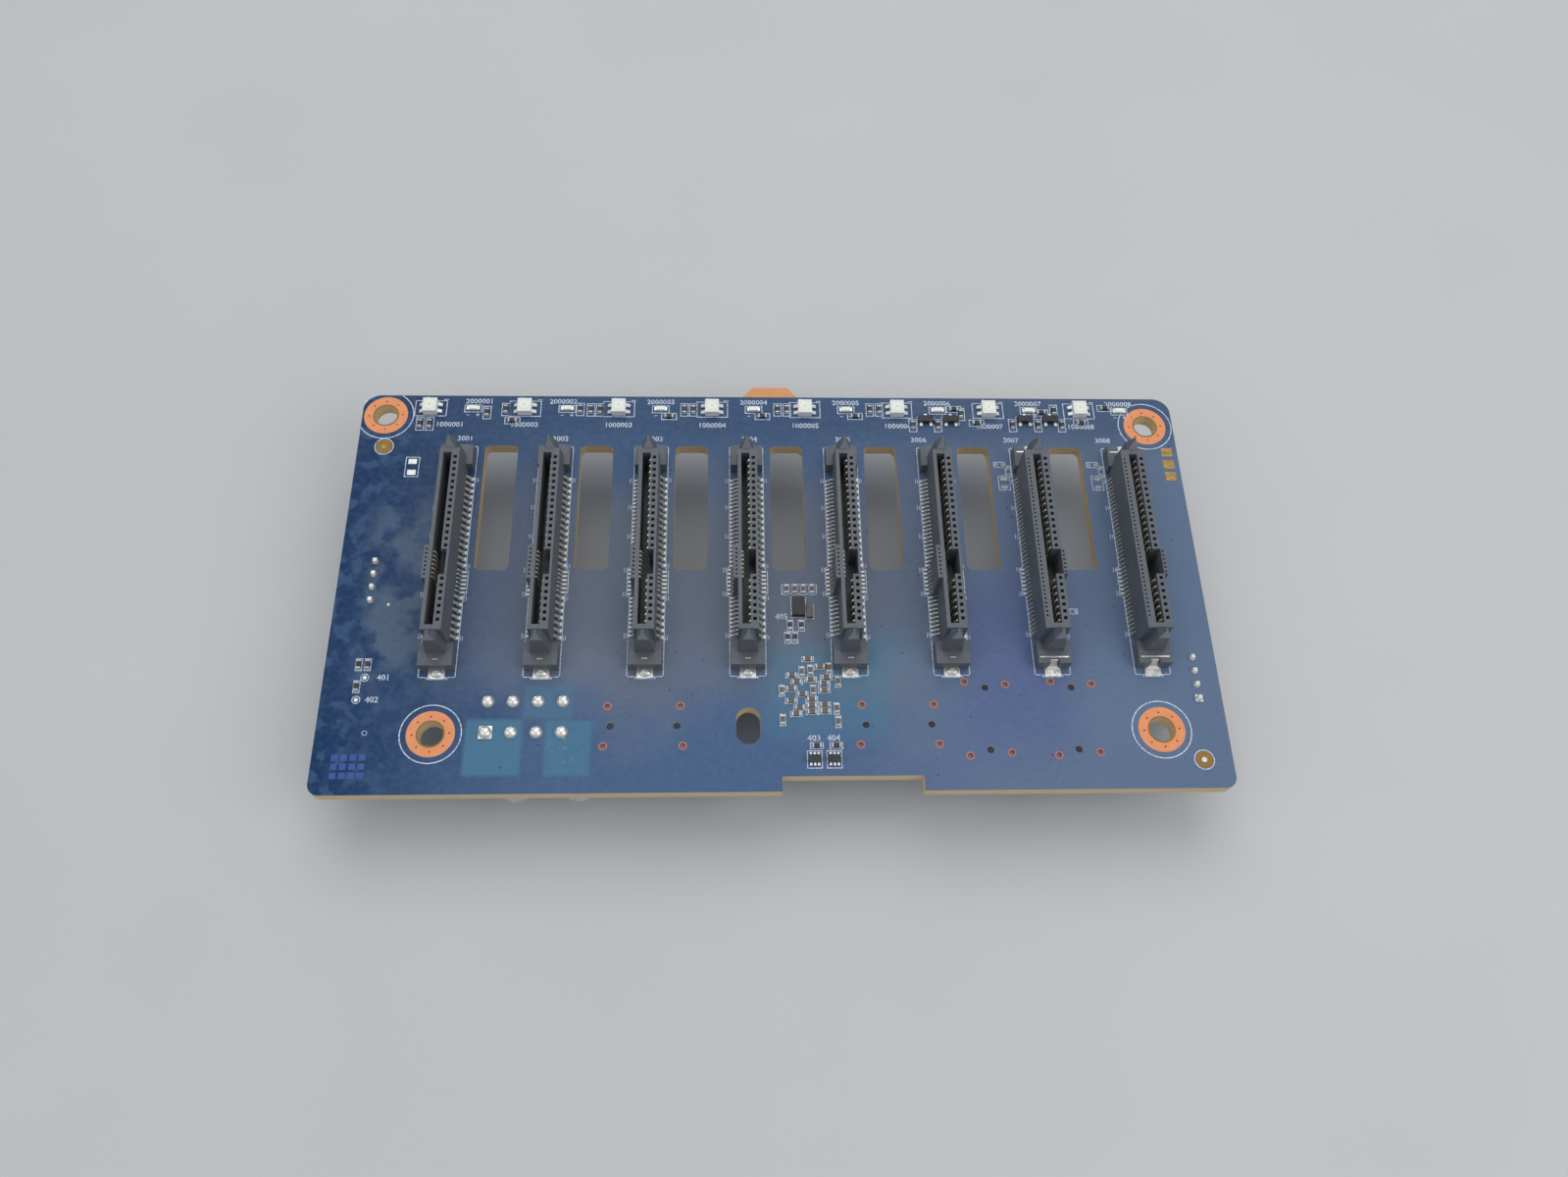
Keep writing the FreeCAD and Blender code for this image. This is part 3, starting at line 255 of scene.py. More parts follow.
def cutCentre(piece, width):         # leaves a frame or ring of that width
    editFaces(piece, everyFace)
    bpy.ops.mesh.inset(thickness=width * mm)
    bpy.ops.mesh.delete(type="FACE")
    leaveEdit()
    return piece


def pullFaces(dx, dy, dz, wide=1, deep=1):               # extrudes the selected faces, then resizes them
    bpy.ops.mesh.extrude_region_move(TRANSFORM_OT_translate={"value": (dx * mm, dy * mm, dz * mm)})
    if (wide, deep) != (1, 1):
        bpy.ops.transform.resize(value=(wide, deep, 1))


def shiftFaces(dz):
    bpy.ops.transform.translate(value=(0, 0, dz * mm))


def apply(piece, kind, **settings):
    pickPiece(piece)
    modifier = piece.modifiers.new(kind.title(), kind)
    for name, value in settings.items():
        setattr(modifier, name, value)
    bpy.ops.object.modifier_apply(modifier=modifier.name)
    return piece


def soften(piece, width, segments=2, angle=40):
    return apply(piece, "BEVEL", width=width * mm, segments=segments, limit_method="ANGLE",
                 angle_limit=math.radians(angle))


def thicken(piece, height):          # sheets that face up get their thickness below them
    return apply(piece, "SOLIDIFY", thickness=height * mm, offset=-1)


def rowOf(piece, count, pitch, axis=1):
    step = [0, 0, 0]
    step[axis] = pitch * mm
    return apply(piece, "ARRAY", count=count, use_relative_offset=False, use_constant_offset=True,
                 constant_offset_displace=step)


def stamp(piece, name, x=0.0, y=0.0, z=0.0, turn=0):
    twin = piece.copy()
    twin.data = piece.data.copy()
    twin.name = name
    bpy.context.collection.objects.link(twin)
    move = Matrix.Translation((x * mm, y * mm, z * mm))
    twin.data.transform(move @ Matrix.Rotation(math.radians(turn), 4, "Z"))
    return twin


def discard(piece):
    bpy.data.objects.remove(piece, do_unlink=True)


def gather(name, pieces):
    clearSelection()
    for piece in pieces:
        piece.select_set(True)
    bpy.context.view_layer.objects.active = pieces[0]
    if len(pieces) > 1:
        bpy.ops.object.join()
    joined = bpy.context.view_layer.objects.active
    joined.name = name
    joined.data.name = name
    return joined


def smooth(piece, angle=35):
    pickPiece(piece)
    bpy.ops.object.shade_smooth_by_angle(angle=math.radians(angle))
    return piece


def dress(piece, finish):
    piece.data.materials.clear()
    piece.data.materials.append(finish)
    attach(piece, "root")
    return piece


def solidsOf(node):                  # (low, high) of each separate solid of a CAD node, in millimetres
    mesh = nodes[node].data
    keys = {}
    number = [keys.setdefault(tuple(round(c, 6) for c in v.co), len(keys)) for v in mesh.vertices]
    owner = list(range(len(keys)))

    def root(k):
        while owner[k] != k:
            owner[k] = owner[owner[k]]
            k = owner[k]
        return k

    for face in mesh.polygons:
        first, *rest = [number[v] for v in face.vertices]
        for other in rest:
            owner[root(other)] = root(first)
    boxes = {}
    for place, k in keys.items():
        low, high = boxes.setdefault(root(k), (list(place), list(place)))
        for axis in range(3):
            low[axis] = min(low[axis], place[axis])
            high[axis] = max(high[axis], place[axis])
    return sorted(([c / mm for c in low], [c / mm for c in high]) for low, high in boxes.values())


def middleOf(solid):
    low, high = solid
    return (low[0] + high[0]) / 2, (low[1] + high[1]) / 2


# what the CAD gives

boardLow, boardHigh = (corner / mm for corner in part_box("circuit_board"))
lampRow = middleOf(solidsOf("status_lamps")[0])[1]
bays = []
for k in range(8):
    low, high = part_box(f"receptacle_housing_{k + 1}")
    bays.append(((low.x + high.x) / 2 / mm, low.y / mm))         # centre line, end of the lower ear
datum = 6.0                          # end of the lower ear to the first contact
firstContact = bays[0][1] + datum
wideBays = (6, 7)

# camera, light, floor

view = {
    "place": (49.69, -70.03, 200.21),
    "right": (0.99902974, -0.0204198, 0.03902071),
    "down": (-0.00138682, -0.90016136, -0.43555437),
    "ahead": (0.04401887, 0.43507765, -0.89931628),
    "lens": 28.73,
}
cameraData = bpy.data.cameras.new("camera")
cameraData.lens = view["lens"]
cameraData.sensor_width = 36
cameraData.clip_start = 0.01
camera = bpy.data.objects.new("camera", cameraData)
bpy.context.collection.objects.link(camera)
right, down, ahead = (Vector(view[k]) for k in ("right", "down", "ahead"))
turn = Matrix((right, -down, -ahead)).transposed().to_4x4()
camera.matrix_world = Matrix.Translation(Vector(view["place"]) * mm) @ turn
bpy.context.scene.camera = camera

light = {
    "sky": (0.86, 0.90, 0.96), "skyStrength": 0.47,
    "panels": (                      # place in metres, size, power, colour
        ((0.05, 0.42, 0.75), 0.7, 2.3, (0.95, 0.97, 1.0)),
        ((-0.45, -0.15, 0.55), 0.5, 0.6, (0.92, 0.96, 1.0)),
        ((0.55, -0.2, 0.5), 0.5, 1.3, (1.0, 0.97, 0.94)),
    ),
}
world = bpy.data.worlds.new("sky")
bpy.context.scene.world = world
world.use_nodes = True
world.node_tree.nodes["Background"].inputs["Color"].default_value = (*light["sky"], 1)
world.node_tree.nodes["Background"].inputs["Strength"].default_value = light["skyStrength"]
aim = Vector((0.058, 0.03, 0.0))
for number, (place, size, power, colour) in enumerate(light["panels"]):
    panel = bpy.data.lights.new(f"panel{number}", "AREA")
    panel.size = size
    panel.energy = power
    panel.color = colour
    lamp = bpy.data.objects.new(f"panel{number}", panel)
    bpy.context.collection.objects.link(lamp)
    lamp.location = place
    lamp.rotation_euler = (aim - Vector(place)).to_track_quat("-Z", "Y").to_euler()
bpy.context.scene.view_settings.view_transform = "Standard"

ground = {"dark": (0.60, 0.61, 0.60), "pale": (0.66, 0.66, 0.65), "size": 6, "centre": (0.05, 0.2)}
floorPaint = Paint("paleFloor", Roughness=0.75)
floorPaint.feed("Base Color", floorPaint.mix(floorPaint.noise(0.02, 4), ground["dark"], ground["pale"]))
clearSelection()
bpy.ops.mesh.primitive_plane_add(size=ground["size"], location=(*ground["centre"], cadBounds[0].z))
floor = settled("floor")
floor.data.materials.append(floorPaint.material)
print("camera, light and floor set")


# finishes

def maskFinish():
    look = {
        "left": srgb(0, 52, 96), "middle": srgb(70, 100, 138), "right": srgb(100, 120, 148),
        "haze": srgb(116, 122, 134), "strip": srgb(38, 66, 100), "teal": srgb(74, 126, 154),
        "violet": srgb(78, 92, 150), "dusty": srgb(104, 122, 138), "speck": srgb(20, 30, 58),
        "glintWhite": srgb(200, 214, 226), "mottle": (0.20, 0.24, 0.34),
        "laminate": srgb(228, 204, 164), "weave": srgb(172, 148, 112),
        "copper": srgb(234, 172, 116), "copperDim": srgb(208, 142, 96),
        "wander": 30,                # how far the edges of the colour fields stray
        "pours": (                   # centre x, y, half width, half depth, soft edge, strength
            (10.4, -2.4, 4.7, 4.9, 0.5, 0.85), (19.2, 5.6, 4.1, 2.9, 0.4, 0.55),
            (22.8, -2.6, 3.8, 4.8, 0.5, 0.8), (66.5, 7.5, 10.5, 8.5, 3.0, 0.5),
            (76.0, 14.5, 6.0, 5.0, 3.5, 0.35),
        ),
    }
    amount = {"haze": 0.75, "strip": 0.6, "violet": 0.45, "dusty": 0.6, "tracks": 0.06,
              "scuffs": 0.5, "paintedGlints": 0.8, "specks": 0.55, "mottle": 0.12}
    paint = Paint("solderMaskBlue", Roughness=0.38, Specular_IOR_Level=0.16,
                  Coat_Weight=0.03, Coat_Roughness=0.15)
    x, y, z = paint.axes()

    def field(across, up, centre, wide, deep):   # 1 inside a soft rectangle; wide and deep are where it fades
        return (paint.span(abs(across - centre[0]), *wide, (1, 0))
                * paint.span(abs(up - centre[1]), *deep, (1, 0)))

    stray = (paint.noise(0.045, 3) - 0.5) * look["wander"]
    along = x + stray
    # painted shade: the blue darkens towards the left end, where the light falls off
    colour = paint.mix(paint.span(along, -20, 26), look["left"], look["middle"])
    colour = paint.mix(paint.span(along, 58, 104), colour, look["right"])
    haze = field(x, y + stray, (46, 27), (22, 58), (12, 30))
    colour = paint.mix(haze * amount["haze"], colour, look["haze"])
    colour = paint.mix(paint.span(y, 52, 62) * amount["strip"], colour, look["strip"])
    for middleX, middleY, halfWide, halfDeep, soft, strength in look["pours"]:
        pour = field(x, y, (middleX, middleY), (halfWide - soft, halfWide + soft),
                     (halfDeep - soft, halfDeep + soft))
        colour = paint.mix(pour * strength, colour, look["teal"])
    violet = field(x, y, (99, 12), (5, 15), (8, 24))
    colour = paint.mix(violet * amount["violet"], colour, look["violet"])
    dusty = field(x, y, (-6, 27), (5, 11), (10, 24)) * paint.span(paint.noise(0.16, 3), 0.40, 0.56)
    colour = paint.mix(dusty * amount["dusty"], colour, look["dusty"])

    # buried tracks show as faint lines, and covered vias as dark specks
    bend = paint.node("ShaderNodeTexNoise", {}, {"Vector": paint.place, "Scale": 0.07, "Detail": 1.0},
                      "Color")
    bent = paint.vector("ADD", paint.place, paint.vector("MULTIPLY", bend, (16, 16, 0)))
    bentX, bentY, _ = paint.axes(bent)
    fans = paint.span(paint.noise(0.05, 1, paint.vector("ADD", paint.place, (90, 40, 7))), 0.52, 0.62)
    rows = paint.span(paint.noise(0.06, 1, paint.vector("ADD", paint.place, (10, 150, 3))), 0.55, 0.64)
    tracks = paint.wave((bentX - bentY) * 5.2) * fans + paint.wave(bentY * 6.5) * rows
    colour = paint.mix(tracks * amount["tracks"], colour, look["speck"])
    scuffs = paint.span(paint.noise(0.33, 4), 0.50, 0.60) * paint.span(x, -19, 4, (1, 0))
    colour = paint.mix(scuffs * amount["scuffs"], colour, look["middle"])
    # painted glints: bright specks of reflected light on the mask near x 21.6, y -3.2
    paintedGlints = (paint.cells(1.7) < 0.13) * (abs(x - 21.6) < 2.2) * (abs(y + 3.2) < 2.4)
    colour = paint.mix(paintedGlints * amount["paintedGlints"], colour, look["glintWhite"])
    flatCells = paint.cells(0.36, paint.vector("MULTIPLY", paint.place, (1, 1, 0)))
    specks = (flatCells < 0.075) * paint.span(paint.noise(0.08, 2), 0.42, 0.56)
    colour = paint.mix(specks * amount["specks"], colour, look["speck"])
    mottle = paint.span(paint.noise(0.9, 4), 0.35, 0.75)
    colour = paint.mix(mottle * amount["mottle"], colour, look["mottle"])

    # cut edges are bare laminate, and the tab beyond the edge is bare too
    _, _, up = paint.facing()
    edge = abs(up) < 0.5
    weave = paint.wave(z * 14) * 0.3 + paint.noise(0.8, 3) * 0.25
    colour = paint.mix(edge, colour, paint.mix(weave, look["laminate"], look["weave"]))
    tab = y > boardHigh[1] - tabHeight
    colour = paint.mix(tab, colour, paint.mix(paint.noise(0.6, 3), look["copper"], look["copperDim"]))
    paint.feed("Base Color", colour)
    paint.feed("Roughness", paint.span(paint.noise(0.5, 3), 0.3, 0.7, (0.30, 0.42)) + edge * 0.35)
    paint.feed("Coat Weight", 0.03 - edge * 0.03)
    paint.bump(tracks * (1 - edge) + paint.noise(3.0, 2) * 0.25, 0.35, 0.02)
    return paint.material


def plasticFinish(name, colour, roughness, grain=0.10):
    paint = Paint(name, Roughness=roughness)
    worn = tuple(min(1, c * 1.35 + 0.01) for c in colour)
    paint.feed("Base Color", paint.mix(paint.span(paint.noise(0.7, 4), 0.4, 0.8) * 0.45, colour, worn))
    paint.feed("Roughness", paint.span(paint.noise(1.6, 3), 0.3, 0.7, (roughness - 0.06, roughness + 0.08)))
    paint.bump(paint.noise(9.0, 2), grain, 0.03)
    return paint.material


def socketFinish():                  # the posts' lower slopes get a painted highlight: paler colour where light falls on them
    look = {"plain": srgb(96, 100, 106), "worn": srgb(112, 117, 124), "slope": srgb(142, 148, 154)}
    paint = Paint("socketPlastic", Roughness=0.5)
    _, forward, up = paint.facing()
    # painted highlight: faces turned towards -Y and up are mixed towards a paler grey
    slope = (forward < -0.3) * (up > 0.12)
    worn = paint.mix(paint.span(paint.noise(0.7, 4), 0.4, 0.8) * 0.3, look["plain"], look["worn"])
    paint.feed("Base Color", paint.mix(slope * 0.8, worn, look["slope"]))
    paint.feed("Roughness", paint.span(paint.noise(1.6, 3), 0.3, 0.7, (0.44, 0.58)))
    paint.bump(paint.noise(9.0, 2), 0.1, 0.03)
    return paint.material


def metalFinish(name, colour, roughness, streak=(1, 1, 1), dull=0.75, shine=1.0):
    paint = Paint(name, Metallic=shine, Roughness=roughness)
    grain = paint.noise(1.4, 4, paint.vector("MULTIPLY", paint.place, streak))
    dark = tuple(c * dull for c in colour)
    paint.feed("Base Color", paint.mix(paint.span(grain, 0.35, 0.75), colour, dark))
    paint.feed("Roughness", paint.span(grain, 0.3, 0.7, (roughness - 0.07, roughness + 0.10)))
    paint.bump(grain, 0.12, 0.02)
    return paint.material


def inkFinish():
    paint = Paint("printInk", Roughness=0.55)
    worn = paint.span(paint.noise(2.2, 3), 0.30, 0.62)
    paint.feed("Base Color", paint.mix(worn, srgb(150, 170, 205), srgb(226, 233, 242)))
    return paint.material


tabHeight = 2.2
maskBlue = maskFinish()
socketPlastic = socketFinish()
nylonBlack = plasticFinish("nylonBlack", srgb(34, 34, 36), 0.5)
nylonWhite = plasticFinish("nylonWhite", srgb(226, 220, 205), 0.45)
insertBlack = plasticFinish("insertBlack", srgb(30, 30, 32), 0.5)
chipBlack = plasticFinish("chipBlack", srgb(40, 42, 48), 0.42)
chipBrown = plasticFinish("chipBrown", srgb(98, 92, 84), 0.45)
packageBlack = plasticFinish("packageBlack", srgb(40, 41, 46), 0.5)
lampWhite = plasticFinish("lampWhite", srgb(236, 238, 232), 0.4)
lampClear = plasticFinish("lampClear", srgb(240, 244, 226), 0.15)
tinPlate = metalFinish("tinPlate", (0.86, 0.85, 0.80), 0.34, shine=0.65)
solder = metalFinish("solder", (0.90, 0.90, 0.86), 0.34, dull=0.85, shine=0.4)
chipTin = metalFinish("chipTin", (0.56, 0.58, 0.58), 0.38, shine=0.5)
contactTin = metalFinish("contactTin", (0.93, 0.92, 0.84), 0.36, dull=0.85, shine=0.25)
legTin = metalFinish("legTin", (0.60, 0.59, 0.52), 0.4, shine=0.5)
jointTin = metalFinish("jointTin", (0.92, 0.91, 0.85), 0.26, dull=0.8, shine=0.75)
landDull = metalFinish("landDull", (0.36, 0.39, 0.42), 0.45, shine=0.4)
goldPlate = metalFinish("goldPlate", (1.0, 0.92, 0.76), 0.28, dull=0.85, shine=0.6)
goldDull = metalFinish("goldDull", (0.50, 0.33, 0.13), 0.5)
lampDie = plasticFinish("lampDie", srgb(232, 208, 188), 0.4)
copperBare = plasticFinish("copperBare", srgb(240, 152, 98), 0.45, 0.05)
copperDark = plasticFinish("copperDark", srgb(150, 112, 42), 0.5, 0.05)
copperRed = plasticFinish("copperRed", srgb(140, 52, 40), 0.5, 0.05)
copperTan = plasticFinish("copperTan", srgb(180, 112, 100), 0.5, 0.05)
legShade = plasticFinish("legShade", srgb(120, 104, 108), 0.5, 0.05)
cageSteel = metalFinish("cageSteel", (0.62, 0.63, 0.64), 0.34, (0.3, 3, 3))
canAluminium = metalFinish("canAluminium", (0.88, 0.88, 0.89), 0.32, (1, 1, 0.2), 0.9, 0.6)
printInk = inkFinish()
maskPale = plasticFinish("maskPale", srgb(34, 78, 150), 0.35, 0.03)
viaDark = plasticFinish("viaDark", srgb(26, 30, 44), 0.5, 0.03)

nodeFinishes = {
    "circuit_board": maskBlue, "receptacle_housing": socketPlastic, "receptacle_contacts": legTin,
    "receptacle_clips": tinPlate, "status_lamps": lampWhite, "activity_lamps": lampClear,
    "chip_resistors": chipBlack, "chip_capacitors": chipBrown, "lamp_transistors": packageBlack,
    "logic_gates": packageBlack, "control_chip": packageBlack, "power_header_housing": nylonBlack,
    "power_header_pins": tinPlate, "left_header_housing": nylonWhite, "left_header_pins": tinPlate,
    "right_header_housing": nylonWhite, "right_header_pins": tinPlate, "cable_socket_cage": cageSteel,
    "cable_socket_insert": insertBlack, "can_base": nylonBlack, "can_shell": canAluminium,
}
for name, node in nodes.items():
    finish = next(nodeFinishes[stem] for stem in nodeFinishes if name.startswith(stem))
    node.data.materials.clear()
    node.data.materials.append(finish)
print("finishes given to the CAD nodes")

# printed lines: flat frames and bars, gathered and given their thickness at the end

ink = {"line": 0.15, "high": 0.03, "inset": 0.12}
inkSheets = []


def inkFrame(left, low, right, high, line=None):
    sheet = addSheet("inkFrame", left, low, right, high, ink["high"])
    inkSheets.append(cutCentre(sheet, line or ink["line"]))


def inkBar(left, low, right, high):
    inkSheets.append(addSheet("inkBar", left, low, right, high, ink["high"]))


def inkPath(points):                 # bars along a path of upright and level runs
    half = ink["line"] / 2
    for (x0, y0), (x1, y1) in zip(points, points[1:]):
        inkBar(min(x0, x1) - half, min(y0, y1) - half, max(x0, x1) + half, max(y0, y1) + half)


def inkRing(x, y, radius, line, sides=48):
    ring = addDisc("inkRing", x, y, ink["high"], radius, sides)
    inkSheets.append(cutCentre(ring, line))


def inkNumber(text, x, y, height):
    clearSelection()
    bpy.ops.object.text_add(location=(x * mm, y * mm, ink["high"] * mm))
    words = bpy.context.object
    words.data.body = text
    words.data.size = height * mm
    words.data.align_x = "CENTER"
    words.data.align_y = "CENTER"
    words.data.resolution_u = 2
    words.data.offset = 0.035 * mm
    bpy.ops.object.convert(target="MESH")
    inkSheets.append(settled("inkNumber"))


# drive receptacles: pads, printed outline, slot contacts, clip solder

receptacle = {
    "padHigh": 0.12, "footHigh": 0.38, "coarsePad": 0.6, "finePad": 0.36, "padSoft": 0.045,
    "rightPads": (2.3, 3.06), "leftPads": (-3.02, -2.2), "longPads": (-3.5, -2.3), "extraPads": (2.35, 3.4),
    "coarse": 1.27, "fine": 0.8, "powerStart": 13.97, "secondStart": 8.43, "fineStart": 0.43,
    "outline": 3.12, "outlineOut": 3.62, "outlineLow": -7.2, "outlineHigh": 38.95, "outlineRoom": 0.45,
    "slotLeft": -1.0, "slotRight": 0.45,
    "ticks": ((3.55, 0.0), (3.55, 7.62), (3.55, 13.97), (3.55, 31.75), (-3.55, 0.43), (-3.55, 31.63),
              (-4.0, 8.43), (-4.0, 13.23), (-3.6, 20.0), (-3.6, 26.0)),
    "tickBars": ((-0.28, -0.16, 0.5), (0.1, 0.22, 0.42)),        # left, right, half height
}
extraStart = receptacle["powerStart"] - 6.35 / 2 - 2.5 * receptacle["fine"]


def padRow(name, across, start, width, count, step, high):
    left, right = across
    pad = addBlock(name, (left, start - width / 2, 0), (right, start + width / 2, high))
    soften(pad, receptacle["padSoft"], 2)
    return rowOf(pad, count, step)


fine, coarse = receptacle["fine"], receptacle["coarse"]
fineRows = (                         # start, count, across
    (receptacle["fineStart"], 10, "leftPads"), (receptacle["secondStart"], 7, "longPads"),
    (receptacle["secondStart"] + 7 * fine, 23, "leftPads"), (extraStart, 6, "extraPads"),
)
padParts = [padRow("pads", receptacle["rightPads"], start, receptacle["coarsePad"], count, coarse,
                   receptacle["footHigh"]) for start, count in ((0, 7), (receptacle["powerStart"], 15))]
for start, count, across in fineRows:
    padParts.append(padRow("pads", receptacle[across], start, receptacle["finePad"], count, fine,
                           receptacle["padHigh"]))


legs = {                             # fine legs that slope from the wall down to their pads
    "width": 0.26, "thick": 0.15, "stub": 0.1, "bend": (0.12, 0.04), "clear": 0.2,
    "wallLeft": {False: -1.66, True: -2.46}, "wallRight": 1.86,
    "toeLeft": -2.75, "toeRight": 2.6, "riseLeft": 0.75, "riseRight": 1.15,
}


def legRow(wall, toe, rise, start, count):
    side = 1 if toe > wall else -1
    stub = sorted((wall, wall + side * legs["stub"]))
    half = legs["width"] / 2
    leg = addBlock("leg", (stub[0], start - half, rise - legs["thick"]), (stub[1], start + half, rise))
    editFaces(leg, lambda face: face.normal.x * side > 0.9)
    out, drop = legs["bend"]
    run = abs(toe - wall) - legs["stub"]
    pullFaces(side * out, 0, -drop)
    pullFaces(side * (run - out), 0, legs["clear"] + drop - rise)
    leaveEdit()
    return rowOf(leg, count, fine)


legMasters = {wide: gather("contactLegs", [
    legRow(legs["wallLeft"][wide], legs["toeLeft"], legs["riseLeft"], receptacle["fineStart"], 40),
    legRow(legs["wallRight"], legs["toeRight"], legs["riseRight"], extraStart, 6),
]) for wide in (False, True)}
padMaster = gather("solderPads", padParts)

blade = {                            # a sprung blade that bows into the slot
    "thick": 0.14, "low": 2.2, "high": 4.6, "coarseWide": 0.5, "fineWide": 0.3,
    "steps": ((0.24, 1.5, 1), (0.06, 0.35, 0.9), (-0.06, 0.3, 0.85), (-0.2, 0.5, 0.8)),     # in, up, width
}


def bladeRow(wall, side, start, width, count, step):
    root = addBlock("blade", (wall, start - width / 2, blade["low"]),
                    (wall + side * blade["thick"], start + width / 2, blade["high"]))
    if side < 0:
        editFaces(root, everyFace)
        bpy.ops.mesh.normals_make_consistent(inside=False)
        leaveEdit()
    editFaces(root, topFace)
    for inward, rise, narrower in blade["steps"]:
        pullFaces(side * inward, 0, rise, 1, narrower)
    leaveEdit()
    return rowOf(root, count, step)


def slotContacts(wide):
    wallRight, wallLeft = receptacle["slotRight"], receptacle["slotLeft"]
    rows = [bladeRow(wallRight, -1, 0, blade["coarseWide"], 7, coarse),
            bladeRow(wallRight, -1, receptacle["powerStart"], blade["coarseWide"], 15, coarse)]
    start, count = (receptacle["fineStart"], 40) if wide else (receptacle["secondStart"], 7)
    rows.append(bladeRow(wallLeft, 1, start, blade["fineWide"], count, fine))
    return gather("slotContacts", rows)


bladeMasters = {wide: slotContacts(wide) for wide in (False, True)}

outside, stepOut = receptacle["outline"], receptacle["outlineOut"]
lowEnd, highEnd = receptacle["outlineLow"], receptacle["outlineHigh"]
room = receptacle["outlineRoom"]
longLow, longHigh = receptacle["secondStart"] - room, receptacle["secondStart"] + 6 * fine + room
extraLow, extraHigh = extraStart - room, extraStart + 5 * fine + room
inkStart = len(inkSheets)
inkPath((                            # right side, with the lower end and its step
    (-outside, -0.5), (-outside, lowEnd), (-1.75, lowEnd), (-1.5, lowEnd - 0.35), (1.5, lowEnd - 0.35),
    (1.75, lowEnd), (outside, lowEnd), (outside, extraLow), (stepOut, extraLow), (stepOut, extraHigh),
    (outside, extraHigh), (outside, highEnd), (outside - 0.5, highEnd)))
inkPath((                            # left side
    (-outside, -0.1), (-outside, longLow), (-stepOut, longLow), (-stepOut, longHigh),
    (-outside, longHigh), (-outside, highEnd), (-outside + 0.5, highEnd)))
for tickX, tickY in receptacle["ticks"]:
    for left, right, reach in receptacle["tickBars"]:
        inkBar(tickX + left, tickY - reach, tickX + right, tickY + reach)
outlineMaster = gather("receptacleInk", inkSheets[inkStart:])
del inkSheets[inkStart:]


clip = {
    "edge": {"lower": -6.0, "upper": 37.75}, "foot": (-0.15, 1.45), "footHalf": 1.3,
    "footLow": 0.1, "footHigh": 0.26, "footSoft": 0.07,
    "moundOut": 0.62, "moundLow": 0.2, "mound": (1.12, 0.74, 0.62), "dimple": (0.04, -0.22),
    "strapIn": 0.72, "strapHalf": (0.72, 0.1), "strapHeights": (2.02, 2.2),
    "strapSteps": ((0.2, 0.75, 0.94), (0.3, 0.6, 1.2), (0.5, 0.35, 1.5)),      # out, down, wider
}


def clipSolder(name, wide, end):     # the soldered foot of a hold-down clip, with its arch
    side = -1 if end == "lower" else 1
    edge = clip["edge"][end]
    foot = sorted(edge + side * out for out in clip["foot"])
    bead = addBlock(name, (-clip["footHalf"], foot[0], clip["footLow"]),
                    (clip["footHalf"], foot[1], clip["footHigh"]))
    parts = [soften(bead, clip["footSoft"], 2)]
    if not wide:
        clearSelection()
        bpy.ops.mesh.primitive_uv_sphere_add(
            segments=24, ring_count=12, radius=mm, scale=clip["mound"],
            location=(0, (edge + side * clip["moundOut"]) * mm, clip["moundLow"] * mm))
        mound = settled(name)
        editFaces(mound, lambda face: face.normal.z > 0.93)      # a dimple where the tab end shows
        inset, sink = clip["dimple"]
        bpy.ops.mesh.inset(thickness=inset * mm)
        shiftFaces(sink)
        leaveEdit()
        parts.append(smooth(mound, 40))
    else:                            # the strap flares from the cross bar down to the foot
        halfX, halfY = clip["strapHalf"]
        low, high = clip["strapHeights"]
        strapY = edge - side * clip["strapIn"]
        strap = addBlock(name, (-halfX, strapY - halfY, low), (halfX, strapY + halfY, high))
        editFaces(strap, lambda face: face.normal.z < -0.9)
        for out, drop, flare in clip["strapSteps"]:
            pullFaces(0, side * out, -drop, flare, 1)
        leaveEdit()
        parts.append(strap)
    return gather(name, parts)


clipMasters = {(wide, end): clipSolder("clipSolder", wide, end) for wide in (False, True)
               for end in ("lower", "upper")}
for k, (bayX, bayLow) in enumerate(bays):
    wide = k in wideBays
    spot = {"x": bayX, "y": bayLow + datum}
    dress(stamp(padMaster, f"solderPads_{k + 1}", **spot), contactTin)
    dress(stamp(legMasters[wide], f"contactLegs_{k + 1}", **spot), legTin)
    dress(stamp(bladeMasters[wide], f"slotContacts_{k + 1}", **spot), goldPlate)
    dress(stamp(outlineMaster, f"receptacleInk_{k + 1}", **spot), printInk)
    thicken(bpy.data.objects[f"receptacleInk_{k + 1}"], ink["high"])
    feet = [stamp(clipMasters[wide, end], "clipFoot", **spot) for end in ("lower", "upper")]
    dress(gather(f"clipFeet_{k + 1}", feet), tinPlate)
for master in (padMaster, outlineMaster, *legMasters.values(), *bladeMasters.values(), *clipMasters.values()):
    discard(master)
print("receptacle details made")

# mounting holes: bare copper ring, drilled vias, printed circle

